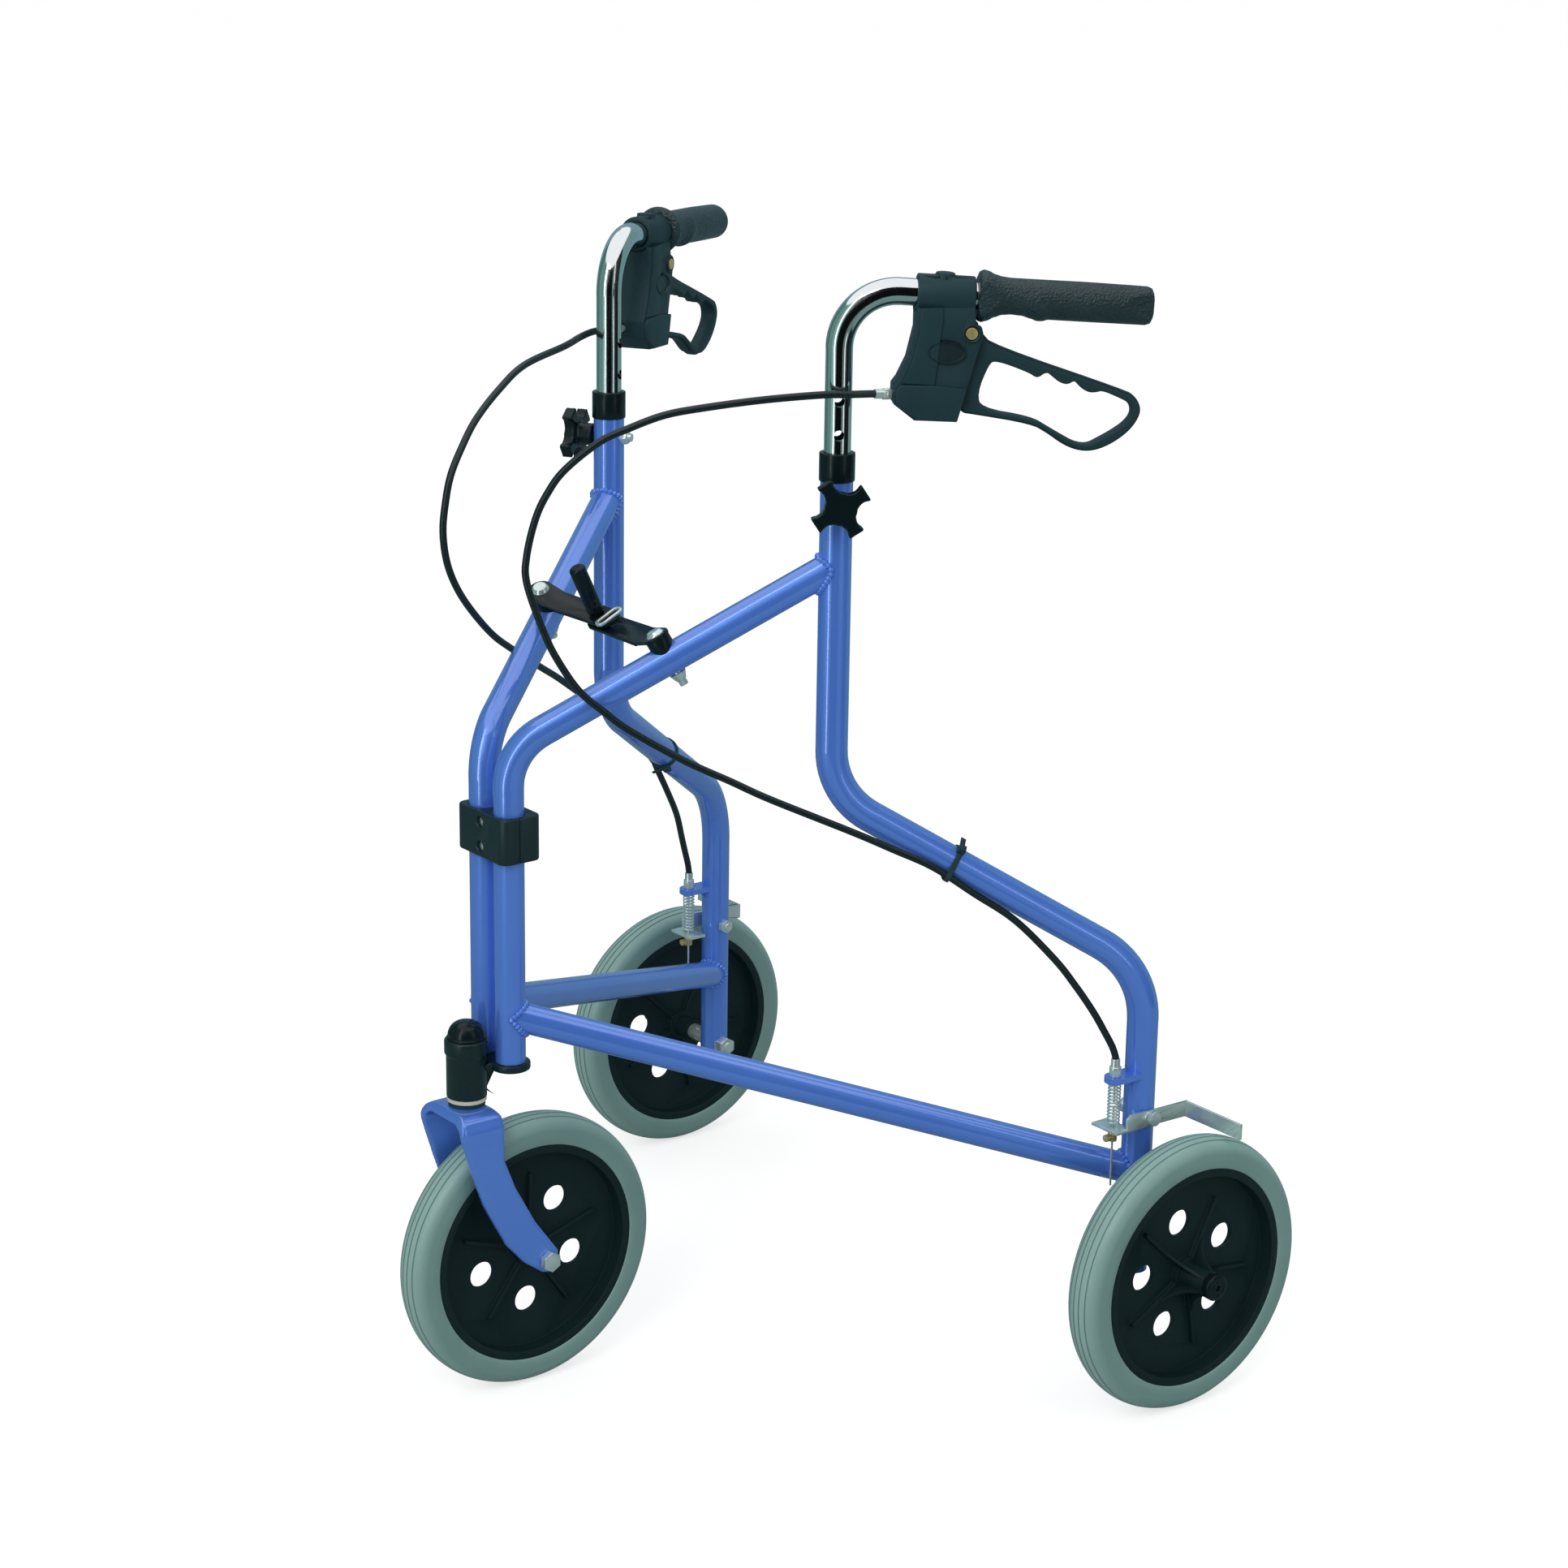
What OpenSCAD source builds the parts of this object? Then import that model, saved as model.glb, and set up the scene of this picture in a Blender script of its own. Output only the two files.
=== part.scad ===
// Folding three wheel rollator, in millimetres.
// +Z is up, the front wheel points to -Y, the user walks behind at +Y and +X is the user's left.
// The origin lies on the floor, midway between the front and rear axles.

/* [Wheels] */
// Outside diameter of all three wheels
wheel_d = 200; // [170:1:210]
// Width of a tyre
tyre_w = 30; // [24:1:36]
// Height of a tyre above the rim that it sits on
tyre_h = 20; // [18:0.5:30]
// Radial thickness of the hub's rim
rim_t = 6; // [3:0.5:9]
// Thickness of the hub's web
web_t = 4; // [3:0.5:8]
// Number of grooves round a tyre
tyre_grooves = 4; // [0:1:6]
// Distance between two grooves
groove_pitch = 5; // [3:0.5:6]
// Depth and width of a groove
groove_size = 0.8; // [0.4:0.1:1.5]
// Number of round holes in a web
web_holes = 5; // [3:1:7]
// Diameter of a web hole
web_hole_d = 19; // [10:1:24]
// Radius on which the web holes lie
web_hole_r = 39.5; // [34:0.5:48]
// Diameter of the hub's boss
boss_d = 18; // [16:1:28]
// Height of the ribs above the web
rib_h = 5; // [2:0.5:9]
// Thickness of a rib
rib_t = 3; // [2:0.5:5]
// Outer radius of the ribs
rib_r = 57; // [50:1:58]
// Diameter of the wheel axles
axle_d = 8; // [6:0.5:10]
// Outside diameter of a hub bush
bush_d = 12.5; // [11:0.5:14]
// Length of a hub bush
bush_len = 12; // [6:1:16]

/* [Side frames] */
// Angle of each side frame from straight ahead when the rollator stands open
frame_angle = 32.4; // [24:0.2:38]
// Distance between the two fold pivots
pivot_gap = 30.4; // [29:0.2:40]
// Diameter of the front and lower tubes
front_tube_d = 21; // [18:0.5:24]
// Diameter of the rear tubes
rear_tube_d = 22; // [21.5:0.5:26]
// Wall of all frame tubes
tube_wall = 1.5; // [1.2:0.1:1.5]
// Distance of the upright from the fold pivot, in the frame's plane
upright_s = 218; // [190:1:240]
// Distance of the rear leg from the fold pivot, in the frame's plane
leg_s = 440; // [400:1:480]
// Height of the front tube's lower end above the sleeve's
foot_rise = 24.3; // [19:0.1:26]
// Height of the front tube's upper corner
front_corner_z = 472.4; // [450:1:500]
// Height where the upper tube meets the upright
brace_top_z = 599; // [570:1:610]
// Height of the corner at the foot of the upright
upright_corner_z = 439; // [425:1:450]
// Height of the corner at the top of the rear leg
leg_corner_z = 310; // [290:1:330]
// Length of the rear leg below the axle
leg_tail = 16; // [12:1:22]
// Height of the upright above the place where the upper tube meets it
upright_rise = 73; // [71:1:90]
// Height of the lower tube at the front tube
lower_front_z = 284; // [280:1:300]
// Height of the lower tube at the rear leg
lower_rear_z = 158.5; // [140:1:165]
// Bend radius of the front tube's corner
front_bend_r = 45; // [35:1:60]
// Bend radius at the foot of the upright
upright_bend_r = 55; // [45:1:60]
// Bend radius at the top of the leg
leg_bend_r = 65; // [45:1:75]

/* [Steering head and fork] */
// Distance from the fold pivots forward to the steering axis
head_forward = 26.3; // [25:0.1:32]
// Distance from the fold pivots back to the front axle
front_axle_back = 21.3; // [10:0.1:30]
// Outside diameter of the head sleeve
sleeve_d = 28; // [27:0.5:30]
// Bore of the head sleeve
sleeve_bore = 20; // [19.5:0.5:22]
// Height of the sleeve's lower end above the fork's crown
sleeve_rise = 6.2; // [5.2:0.1:8]
// Height of the sleeve
sleeve_h = 42; // [40:1:50]
// Height of the sleeve's shoulder ring
shoulder_h = 10; // [6:1:14]
// How far the shoulder ring stands out
shoulder_out = 1.2; // [0.8:0.1:2]
// Height of the domed cap above the sleeve
cap_h = 12.5; // [11:0.5:18]
// Diameter of the fork's stem
stem_d = 12; // [10:0.5:14]
// Gap between the front tyre and the fork's crown
crown_gap = 12.8; // [9:0.1:20]
// Clear width between the fork's legs
fork_gap = 46; // [42:0.5:52]
// Thickness of a fork leg
fork_leg_t = 5.5; // [4:0.5:7]
// Thickness of the fork's crown
crown_t = 7; // [5:0.5:8]
// Thickness of the washer ring under the sleeve
washer_t = 2.7; // [1.5:0.1:2.8]
// Thickness of the plate that carries the front tubes
bracket_t = 5; // [4:0.5:7]
// Height of the pins that the front tubes turn on
pin_h = 18; // [12:1:25]

/* [Hinge block] */
// Height of the middle of the hinge block
block_z = 412; // [400:1:420]
// Height of the hinge block
block_h = 32; // [28:1:40]
// Depth of the block in front of the pivots
block_front = 14; // [13.5:0.5:18]
// Depth of the block behind the pivots
block_rear = 18; // [14:0.5:20]
// How far the block reaches outside each pivot
block_side = 14.5; // [14:0.5:18]
// Distance between its two screws
block_screw_gap = 17.4; // [16:0.2:18]
// Diameter of the screws
block_screw_d = 4; // [3:0.5:5]

/* [Handles] */
// Diameter of the handle tubes
handle_d = 18; // [17.6:0.1:18]
// Wall of the handle tubes
handle_wall = 1.5; // [1:0.1:2]
// Height of the handle's axis above the top of the upright
handle_rise = 111.6; // [103:0.1:128]
// Slope of the handle down to the rear, in degrees
handle_drop = 3.3; // [0:0.1:6]
// Bend radius of a handle tube
handle_bend_r = 37; // [30:1:38]
// Distance of the grip's rear end from the upright
grip_end_u = 206; // [190:1:220]
// Where the grip starts behind the brake housing
grip_gap = 2; // [1:0.5:4]
// Diameter of the grip
grip_d = 26; // [24:0.5:32]
// Diameter of the grip's flared front end
grip_flare_d = 34; // [30:0.5:38]
// Distance between two height holes
hole_pitch = 22.5; // [20:0.5:25]
// Diameter of a height hole
height_hole_d = 7; // [6:0.5:8]
// Number of settings above the stored one
settings_up = 4; // [2:1:4]
// Number of settings below the stored one
settings_down = 3; // [1:1:3]
// Distance of the clamp knob below the top of the upright
knob_drop = 29.5; // [28:0.5:32]
// Radius of the knob's arms
knob_r = 20; // [16:0.5:24]
// Outside diameter of the black collar
collar_d = 24; // [23.6:0.2:26]
// Height of the black collar
collar_h = 19; // [14:1:22]

/* [Brakes] */
// Distance of the housing's front from the upright
housing_u = 50; // [45:1:54]
// Length of the housing's clamp
clamp_len = 38; // [34:1:42]
// Outside diameter of the housing's clamp
clamp_d = 25; // [23:0.5:28]
// Thickness of the housing
housing_t = 24; // [20:0.5:28]
// Wall of the housing's front edge
housing_wall = 3; // [2:0.5:4]
// Thickness of the lever
lever_t = 12; // [9:0.5:14]
// Diameter of the lever's pivot
lever_pin_d = 5; // [4:0.5:7]
// Diameter of the outer cable
cable_d = 5; // [4:0.5:6]
// Length of the lever's cable adjuster
adjuster_len = 17; // [14:1:20]
// Diameter of the lever's cable adjuster
adjuster_d = 8; // [7:0.5:9]
// Height of the brake arm's pivot above the axle
arm_rise = 103; // [102:0.5:106]
// Height of the brake arm's strip
arm_h = 11.5; // [9:0.5:12]
// Thickness of the brake arm's strip
arm_t = 2; // [1.5:0.1:3]
// Distance from the leg's axis back to the shoe
shoe_back = 34.5; // [30:0.5:40]
// Gap between the tyre and the released shoe
shoe_gap = 2.6; // [2.2:0.1:4]
// Distance from the leg's axis forward to the brake cable
cable_forward = 25.5; // [24:0.5:30]
// Height of the top of the cable bracket above the brake arm's pivot
bracket_rise = 33.2; // [31:0.1:37]
// Thickness of the cable bracket
cable_bracket_t = 4.2; // [3:0.1:5]
// Distance of the top of the arm's front tab below the pivot
tab_drop = 4; // [3:0.5:6]
// Number of curls of the brake spring
spring_turns = 12; // [6:1:12]
// Diameter of the spring's wire
spring_wire = 1.2; // [0.8:0.1:1.4]
// Mean radius of the spring
spring_r = 4.2; // [4:0.1:5]
// Distance of the wheel's middle from the leg's axis
wheel_out = 51.4; // [50:0.5:60]

/* [Folding brace] */
// Distance of a brace pivot from the fold pivot, measured to the tube's axis
brace_s = 107.9; // [100:0.5:120]
// Height of the lower brace link above the tube's axis
brace_seat = 16.5; // [14:0.5:20]
// Thickness of a brace link
link_t = 2.6; // [2:0.1:4]
// Gap between the two links where they cross
link_gap = 2.6; // [2.4:0.1:5]
// Width of a brace link
link_w = 18; // [15:0.5:18]
// Length of a link's end pad
pad_len = 16; // [13:0.5:18]
// Diameter of the black spacers under the links
spacer_d = 17; // [14:0.5:20]
// Diameter of the standing brace handle
brace_grip_d = 11.5; // [9:0.5:14]
// Height of the standing brace handle
brace_grip_h = 36; // [25:1:50]
// Diameter of the brace's bolts
brace_bolt_d = 6; // [5:0.5:7]

/* [Clearances] */
// Gap between pieces that touch, such as a coped tube
seat_gap = 0.1; // [0.05:0.05:0.2]
// Radial clearance of a shaft in its bore
run_gap = 0.06; // [0.03:0.01:0.09]
// Gap between pieces that move past each other
move_gap = 0.3; // [0.2:0.1:0.5]

/* [Hidden] */

// Finishes
blue_paint = [0.27, 0.45, 0.76];
black_plastic = [0.10, 0.13, 0.14];
black_paint = [0.08, 0.10, 0.11];
tyre_grey = [0.52, 0.58, 0.56];
chrome_grey = [0.80, 0.82, 0.82];
zinc_grey = [0.70, 0.73, 0.72];
brass_yellow = [0.72, 0.60, 0.30];
washer_white = [0.85, 0.83, 0.76];

// Smoothness of the round surfaces
$fn = 48;
bend_smooth = 96;

// A bend is this much fuller than its straights, which reach this far into it
bend_proud = 0.06;
bend_lap = 0.8;

// Heights that follow the wheels and each other
wheel_r = wheel_d / 2;
axle_z = wheel_r;
crown_top_z = wheel_d + crown_gap + crown_t;
sleeve_low_z = crown_top_z + sleeve_rise;
sleeve_top_z = sleeve_low_z + sleeve_h;
front_foot_z = sleeve_low_z + foot_rise;
leg_foot_z = axle_z - leg_tail;
arm_z = axle_z + arm_rise;
tab_z = arm_z - tab_drop;
cable_bracket_z = arm_z + bracket_rise;
upright_top_z = brace_top_z + upright_rise;
handle_z = upright_top_z + handle_rise;
knob_z = upright_top_z - knob_drop;

// Wheels
rim_r = wheel_r - tyre_h;
hub_half = tyre_w / 2 - 1;
boss_out = tyre_w / 2 + 18;
boss_in = tyre_w / 2 + 9;
crown_h = 10;
head_recess = 4;
bolt_head_r = 6.5;
front_hole_angle = 52.8;
rear_hole_angle = 100;

// Places of the frames
pivot_x = pivot_gap / 2;
leg_x = pivot_x + leg_s * sin(frame_angle);
leg_back = leg_s * cos(frame_angle);
pivot_y = -(front_axle_back + leg_back) / 2;
leg_y = pivot_y + leg_back;
wheel_x = leg_x + wheel_out;
front_tube_r = front_tube_d / 2;
rear_tube_r = rear_tube_d / 2;
front_bore_r = front_tube_r - tube_wall;
rear_bore_r = rear_tube_r - tube_wall;
front_path = [[0, front_foot_z], [0, front_corner_z], [upright_s, brace_top_z]];
rear_path = [[upright_s, upright_top_z], [upright_s, upright_corner_z], [leg_s, leg_corner_z],
    [leg_s, leg_foot_z]];
lower_path = [[0, lower_front_z], [leg_s, lower_rear_z]];

// Steering head
head_y = pivot_y - head_forward;
front_axle_y = pivot_y + front_axle_back;
sleeve_r = sleeve_d / 2;
sleeve_bore_r = sleeve_bore / 2;
stem_r = stem_d / 2;
bracket_top_z = front_foot_z - move_gap;
bracket_low_z = bracket_top_z - bracket_t;
bush_h = 10;
nut_h = 6;
nut_z = sleeve_top_z - 5.7;
fork_half = fork_gap / 2 + fork_leg_t;
crown_round = 14;
crown_front = head_forward + 21.5;
crown_back = head_forward - 13;
fork_end_r = 10;
axle_r = axle_d / 2;

// Handles
handle_r = handle_d / 2;
low_hole = settings_up;
high_hole = settings_down;
tube_tail = 12;
handle_foot_z = knob_z - settings_up * hole_pitch - tube_tail;
grip_start_u = housing_u + clamp_len + grip_gap;
grip_r = grip_d / 2;
collar_lip = 3;
collar_top_z = upright_top_z + collar_lip;
knob_stud_r = 3;
knob_hub_r = 8;
knob_seat = 3.5;
knob_arms_angle = 33.4;

// Brake housing and lever, along and across the handle's axis
lever_pin_u = housing_u + 36.8;
lever_pin_w = -23.1;
adjuster_w = -66.8;
adjuster_yaw = 20;
adjuster_face = 13;
adjuster_in = 3;
housing_outline = [[0, -9], [0.7, -23], [-2.7, -43.4], [-8, -56.7], [-11, -61.2], [-10.7, -72.6], [3.8, -82.6],
    [32.3, -82.1], [44.8, -23.6], [43.2, -18.4], [39.4, -17.6], [clamp_len, -6]];
slot_outline = [[19, -40], [29, -29], [29.5, -15], [60, -15], [60, -90], [20, -90], [8, -78], [8, -56]];
lever_outline = [[-4.3, 4.3], [0, 6], [4.3, 4.3], [9, -1.5], [16.4, -8.4], [108, -33.7], [114, -37], [118, -43],
    [118.4, -49], [114, -58], [106, -66], [96, -72.4], [87, -75.3], [78, -75], [68, -71.5], [57, -64.5],
    [46, -59.2], [5.3, -54.7], [0, -54.5], [-4, -50], [-4.5, -28], [-6, -1]];
loop_outline = [[18.2, -17.7], [42, -25], [47, -28.3], [52.8, -23.3], [58, -27], [63, -30.5], [68, -31],
    [72, -28], [77, -33], [82, -35.6], [87, -35.2], [91, -33.8], [103, -38.1], [110, -41], [113, -47.8],
    [109, -55], [100, -62], [92, -67], [85.5, -71], [77, -70.3], [68, -66], [59.1, -61.6], [46.8, -55.1],
    [12.2, -51.2], [8.1, -40.2], [14, -21.1]];

// Brake arm
arm_x = leg_x + rear_tube_r + 1;
arm_bolt_r = 3;
shoe_y = leg_y + shoe_back;
shoe_low_z = axle_z + sqrt(wheel_r * wheel_r - shoe_back * shoe_back) + shoe_gap;
shoe_end_x = wheel_x + tyre_w / 2 + 2;
stop_y = leg_y - cable_forward;
stop_x = leg_x + 1.5;
tab_front = 8;
tab_in = 24;
spring_low_z = tab_z + move_gap + spring_wire;
spring_top_z = cable_bracket_z - cable_bracket_t - seat_gap - spring_wire;
wire_r = 0.75;
wire_tail_z = tab_z - 45;
wire_join_z = tab_z + 14;

// Folding brace: unit vectors of the left side, seen from the left fold pivot
tube_slope = atan((brace_top_z - front_corner_z) / upright_s);
plane_dir = [sin(frame_angle), cos(frame_angle), 0];
bolt_dir = [-sin(tube_slope) * plane_dir[0], -sin(tube_slope) * plane_dir[1], cos(tube_slope)];
brace_tube_z = front_corner_z + brace_s * tan(tube_slope);
brace_foot = [pivot_x, pivot_y, 0] + brace_s * plane_dir + [0, 0, brace_tube_z];
pad_left = brace_foot + brace_seat * bolt_dir;
apex = [0, pivot_y, brace_tube_z + brace_s / tan(tube_slope)];
mid_tilt = atan(tan(tube_slope) * cos(frame_angle));
mid_up = [0, -sin(mid_tilt), cos(mid_tilt)];
link_step = link_t + link_gap;

// Route of the left cable from the lever to the bracket: along the frame, height, outwards
left_route = [[222, 716, 15], [206, 716, 16], [168, 713, 17], [130, 708, 17], [103, 703, 17], [79, 694, 17],
    [60, 685, 17], [38, 667, 17], [27, 652, 17], [19, 635, 17], [13, 610, 17], [13, 591, 17], [24, 558, 17],
    [33, 539, 17], [47, 518, 17], [64, 503, 17], [81, 490, 17], [118, 468, 15], [149, 453, 14],
    [176, 440, 14], [232, 416, 13], [260, 403, 12], [288, 390, 12.5], [317, 370, 10.5], [346, 350, 10],
    [375, 322, 12], [392, 298, 14], [404, 275, 15]];
// Route of the right cable, which swings further out
right_route = [[222, 718, 15], [206, 716, 18], [185, 712, 20], [129, 706, 26], [95, 694, 30], [62, 679, 32],
    [39, 664, 32], [21, 648, 32], [12, 630, 32], [8, 612, 32], [13, 591, 32], [25, 571, 31], [46, 550, 30],
    [73, 527, 27], [98, 511, 24], [139, 488, 20], [165, 474, 18], [196, 456, 16], [230, 436, 15],
    [269, 414, 15], [300, 395, 14.5], [331, 375, 14], [344, 357, 12.5], [361, 335, 11], [382, 309, 11],
    [402, 280, 14]];
cable_sides = 8;
cable_step = 16;
ferrule_len = 6;

// Vector helpers
function unit(v) = v / norm(v);
function cross_z(u, v) = u[0] * v[1] - u[1] * v[0];
function arc_points(c, r, a0, a1, n) = [for (i = [0 : n]) c + r * [cos(a0 + (a1 - a0) * i / n),
    sin(a0 + (a1 - a0) * i / n)]];

// Placement helpers
module at_pivot() {
    translate([0, pivot_y, 0]) children();
}

// The left frame's own axes: X along the frame, -Y outwards, Z up
module left_frame() {
    translate([pivot_x, pivot_y, 0]) rotate([0, 0, 90 - frame_angle]) children();
}

module right_side() {
    mirror([1, 0, 0]) children();
}

// Draws a flat outline in the frame's plane and thickens it outwards from an offset
module frame_plate(start, thick) {
    rotate([90, 0, 0]) translate([0, 0, start]) linear_extrude(thick) children();
}

// The handle's own axes: X back along the grip from the upright, Z across it
module handle_axes() {
    left_frame() translate([upright_s, 0, handle_z]) rotate([0, handle_drop, 0]) children();
}

// A round bar along X
module bar_x(x0, x1, r) {
    translate([x0, 0, 0]) rotate([0, 90, 0]) cylinder(h = x1 - x0, r = r);
}

module hex_x(x0, x1, r) {
    translate([x0, 0, 0]) rotate([0, 90, 0]) cylinder(h = x1 - x0, r = r, $fn = 6);
}

// A round bar outwards from the left frame's plane
module bar_out(y0, y1, r) {
    rotate([90, 0, 0]) translate([0, 0, y0]) cylinder(h = y1 - y0, r = r);
}

module ring(h, ro, ri) {
    difference() {
        cylinder(h = h, r = ro);
        translate([0, 0, -1]) cylinder(h = h + 2, r = ri);
    }
}

module annulus(ro, ri) {
    difference() {
        circle(r = ro);
        circle(r = ri);
    }
}

// A straight pipe between two points of the frame's plane
module pipe(p, q, ro, ri) {
    d = q - p;
    translate([p[0], 0, p[1]]) rotate([0, atan2(d[0], d[1]), 0]) linear_extrude(norm(d)) annulus(ro, ri);
}

// Length that a bend takes from each of its two straights
function bend_cut(a, b, c, r) = r * tan(acos(unit(b - a) * unit(c - b)) / 2);

// The bend at corner b, as part of a turned ring
module pipe_bend(a, b, c, r, ro, ri) {
    u = unit(b - a);
    v = unit(c - b);
    turn = acos(u * v);
    side = cross_z(u, v) > 0 ? 1 : -1;
    start = b - u * bend_cut(a, b, c, r);
    middle = start + side * r * [-u[1], u[0]];
    a0 = atan2(start[1] - middle[1], start[0] - middle[0]);
    translate([middle[0], 0, middle[1]]) rotate([90, 0, 0]) rotate([0, 0, side > 0 ? a0 : a0 - turn])
        rotate_extrude(angle = turn, $fn = bend_smooth) translate([r, 0])
            annulus(ro + bend_proud, ri - bend_proud, $fn = 48);
}

// A bent pipe through the points of a path
module pipe_run(path, bends, ro, ri) {
    last = len(path) - 1;
    for (i = [0 : last - 1]) {
        u = unit(path[i + 1] - path[i]);
        from = i == 0 ? 0 : bend_cut(path[i - 1], path[i], path[i + 1], bends[i - 1]) - bend_lap;
        to = i == last - 1 ? 0 : bend_cut(path[i], path[i + 1], path[i + 2], bends[i]) - bend_lap;
        pipe(path[i] + u * from, path[i + 1] - u * to, ro, ri);
    }
    for (i = [1 : 1 : last - 1]) pipe_bend(path[i - 1], path[i], path[i + 1], bends[i - 1], ro, ri);
}

// A rectangle with round corners
module round_rect(x0, x1, y0, y1, r) {
    translate([x0 + r, y0]) square([x1 - x0 - 2 * r, y1 - y0]);
    translate([x0, y0 + r]) square([x1 - x0, y1 - y0 - 2 * r]);
    for (x = [x0 + r, x1 - r], y = [y0 + r, y1 - r]) translate([x, y]) circle(r = r);
}

// Hinge block
block_low_z = block_z - block_h / 2;
block_edge = 7;
screw_zs = [block_z - block_screw_gap / 2, block_z + block_screw_gap / 2];
screw_head_r = block_screw_d / 2 + 1.6;
screw_sink = 6;

module block_outline() {
    reach = pivot_x + block_side;
    round_rect(-reach, reach, -block_front, block_rear, block_edge);
}

module block_half(y0, y1) {
    at_pivot() difference() {
        translate([0, 0, block_low_z]) linear_extrude(block_h) intersection() {
            block_outline();
            translate([-50, y0]) square([100, y1 - y0]);
        }
        for (x = [-pivot_x, pivot_x]) translate([x, 0, block_low_z - 1])
            cylinder(h = block_h + 2, r = front_tube_r + run_gap);
        for (z = screw_zs) translate([0, -block_front - 1, z]) rotate([-90, 0, 0]) {
            cylinder(h = block_front + block_rear + 2, r = block_screw_d / 2 + seat_gap);
            cylinder(h = screw_sink + 1, r = screw_head_r + move_gap);
            translate([0, 0, block_front + block_rear + 1 - screw_sink / 2])
                cylinder(h = screw_sink, r = screw_head_r + move_gap);
        }
    }
}

module hinge_block_front() color(black_plastic) block_half(-block_front, -seat_gap / 2);
module hinge_block_rear() color(black_plastic) block_half(seat_gap / 2, block_rear);

module hinge_block_screws() color(zinc_grey) at_pivot() {
    head_t = 3;
    back = block_rear - screw_sink / 2;
    for (z = screw_zs) translate([0, 0, z]) rotate([-90, 0, 0]) {
        translate([0, 0, -block_front + screw_sink]) cylinder(h = block_front - screw_sink + back, r = block_screw_d / 2);
        translate([0, 0, -block_front + screw_sink - head_t]) difference() {
            cylinder(h = head_t, r = screw_head_r);
            translate([0, 0, -1]) cylinder(h = head_t, r = block_screw_d / 4, $fn = 6);
        }
        translate([0, 0, back + seat_gap]) cylinder(h = head_t - 2 * seat_gap, r = screw_head_r, $fn = 6);
    }
}

// Steering head
module head_bracket() color(black_paint) at_pivot() {
    wing_r = front_tube_r + 3.2;
    gusset_t = 4;
    difference() {
        union() {
            translate([0, 0, bracket_low_z]) linear_extrude(bracket_t) {
                for (x = [-pivot_x, pivot_x]) translate([x, 0]) circle(r = wing_r);
                translate([-pivot_x, -wing_r]) square([pivot_gap, 2 * wing_r]);
                translate([-sleeve_r + 2, -head_forward]) square([sleeve_d - 4, head_forward]);
            }
            translate([-gusset_t / 2, 0, 0]) rotate([90, 0, 90]) linear_extrude(gusset_t)
                polygon([[-head_forward, bracket_low_z + 1], [0, bracket_low_z + 1], [-head_forward + sleeve_r, sleeve_low_z + 2],
                    [-head_forward, sleeve_low_z + 2]]);
            for (x = [-pivot_x, pivot_x]) translate([x, 0, bracket_low_z])
                cylinder(h = bracket_t + pin_h, r = front_bore_r - run_gap);
        }
        translate([0, -head_forward, sleeve_low_z - 1])
            cylinder(h = sleeve_top_z - sleeve_low_z, r = sleeve_r + seat_gap);
    }
}

module head_sleeve() color(black_paint) translate([0, head_y, 0]) {
    difference() {
        union() {
            translate([0, 0, sleeve_low_z]) cylinder(h = sleeve_top_z - sleeve_low_z, r = sleeve_r);
            translate([0, 0, sleeve_top_z - shoulder_h]) cylinder(h = shoulder_h - 1, r = sleeve_r + shoulder_out);
            translate([0, 0, sleeve_top_z - shoulder_h - 2])
                cylinder(h = 2, r1 = sleeve_r, r2 = sleeve_r + shoulder_out, $fn = 64);
            translate([0, 0, sleeve_top_z - 1]) cylinder(h = 1, r1 = sleeve_r + shoulder_out, r2 = sleeve_r, $fn = 64);
        }
        translate([0, 0, sleeve_low_z - 1]) cylinder(h = sleeve_top_z - sleeve_low_z + 2, r = sleeve_bore_r);
    }
}

module head_cap() color(black_plastic) translate([0, head_y, sleeve_top_z + seat_gap]) {
    cap_r = sleeve_r - 1;
    wall = 2;
    round_r = 8;
    plug_h = 4;
    rotate_extrude() polygon(concat(
        [[cap_r - wall, 0], [cap_r, 0]],
        arc_points([cap_r - round_r, cap_h - round_r], round_r, 0, 90, 8),
        [[0, cap_h], [0, cap_h - wall], [cap_r - round_r, cap_h - wall]],
        [[cap_r - wall, cap_h - round_r]]));
    translate([0, 0, -plug_h]) ring(plug_h + 1, sleeve_bore_r - seat_gap, sleeve_bore_r - 1);
    ring(1, cap_r - wall + 1, sleeve_bore_r - 1);
}

module head_washer() color(washer_white) translate([0, head_y, sleeve_low_z - seat_gap - washer_t])
    ring(washer_t, sleeve_r - 0.3, stem_r + move_gap);

// Two plain bushes in the sleeve and the dust seal on the crown
module head_bushes() color(black_plastic) translate([0, head_y, 0]) {
    seal_low = crown_top_z + seat_gap;
    translate([0, 0, sleeve_low_z]) ring(bush_h, sleeve_bore_r - seat_gap, stem_r + run_gap);
    translate([0, 0, nut_z - seat_gap - bush_h]) ring(bush_h, sleeve_bore_r - seat_gap, stem_r + run_gap);
    translate([0, 0, seal_low])
        ring(sleeve_low_z - washer_t - 3 * seat_gap - seal_low, sleeve_r - 1.2, stem_r + move_gap);
}

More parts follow.
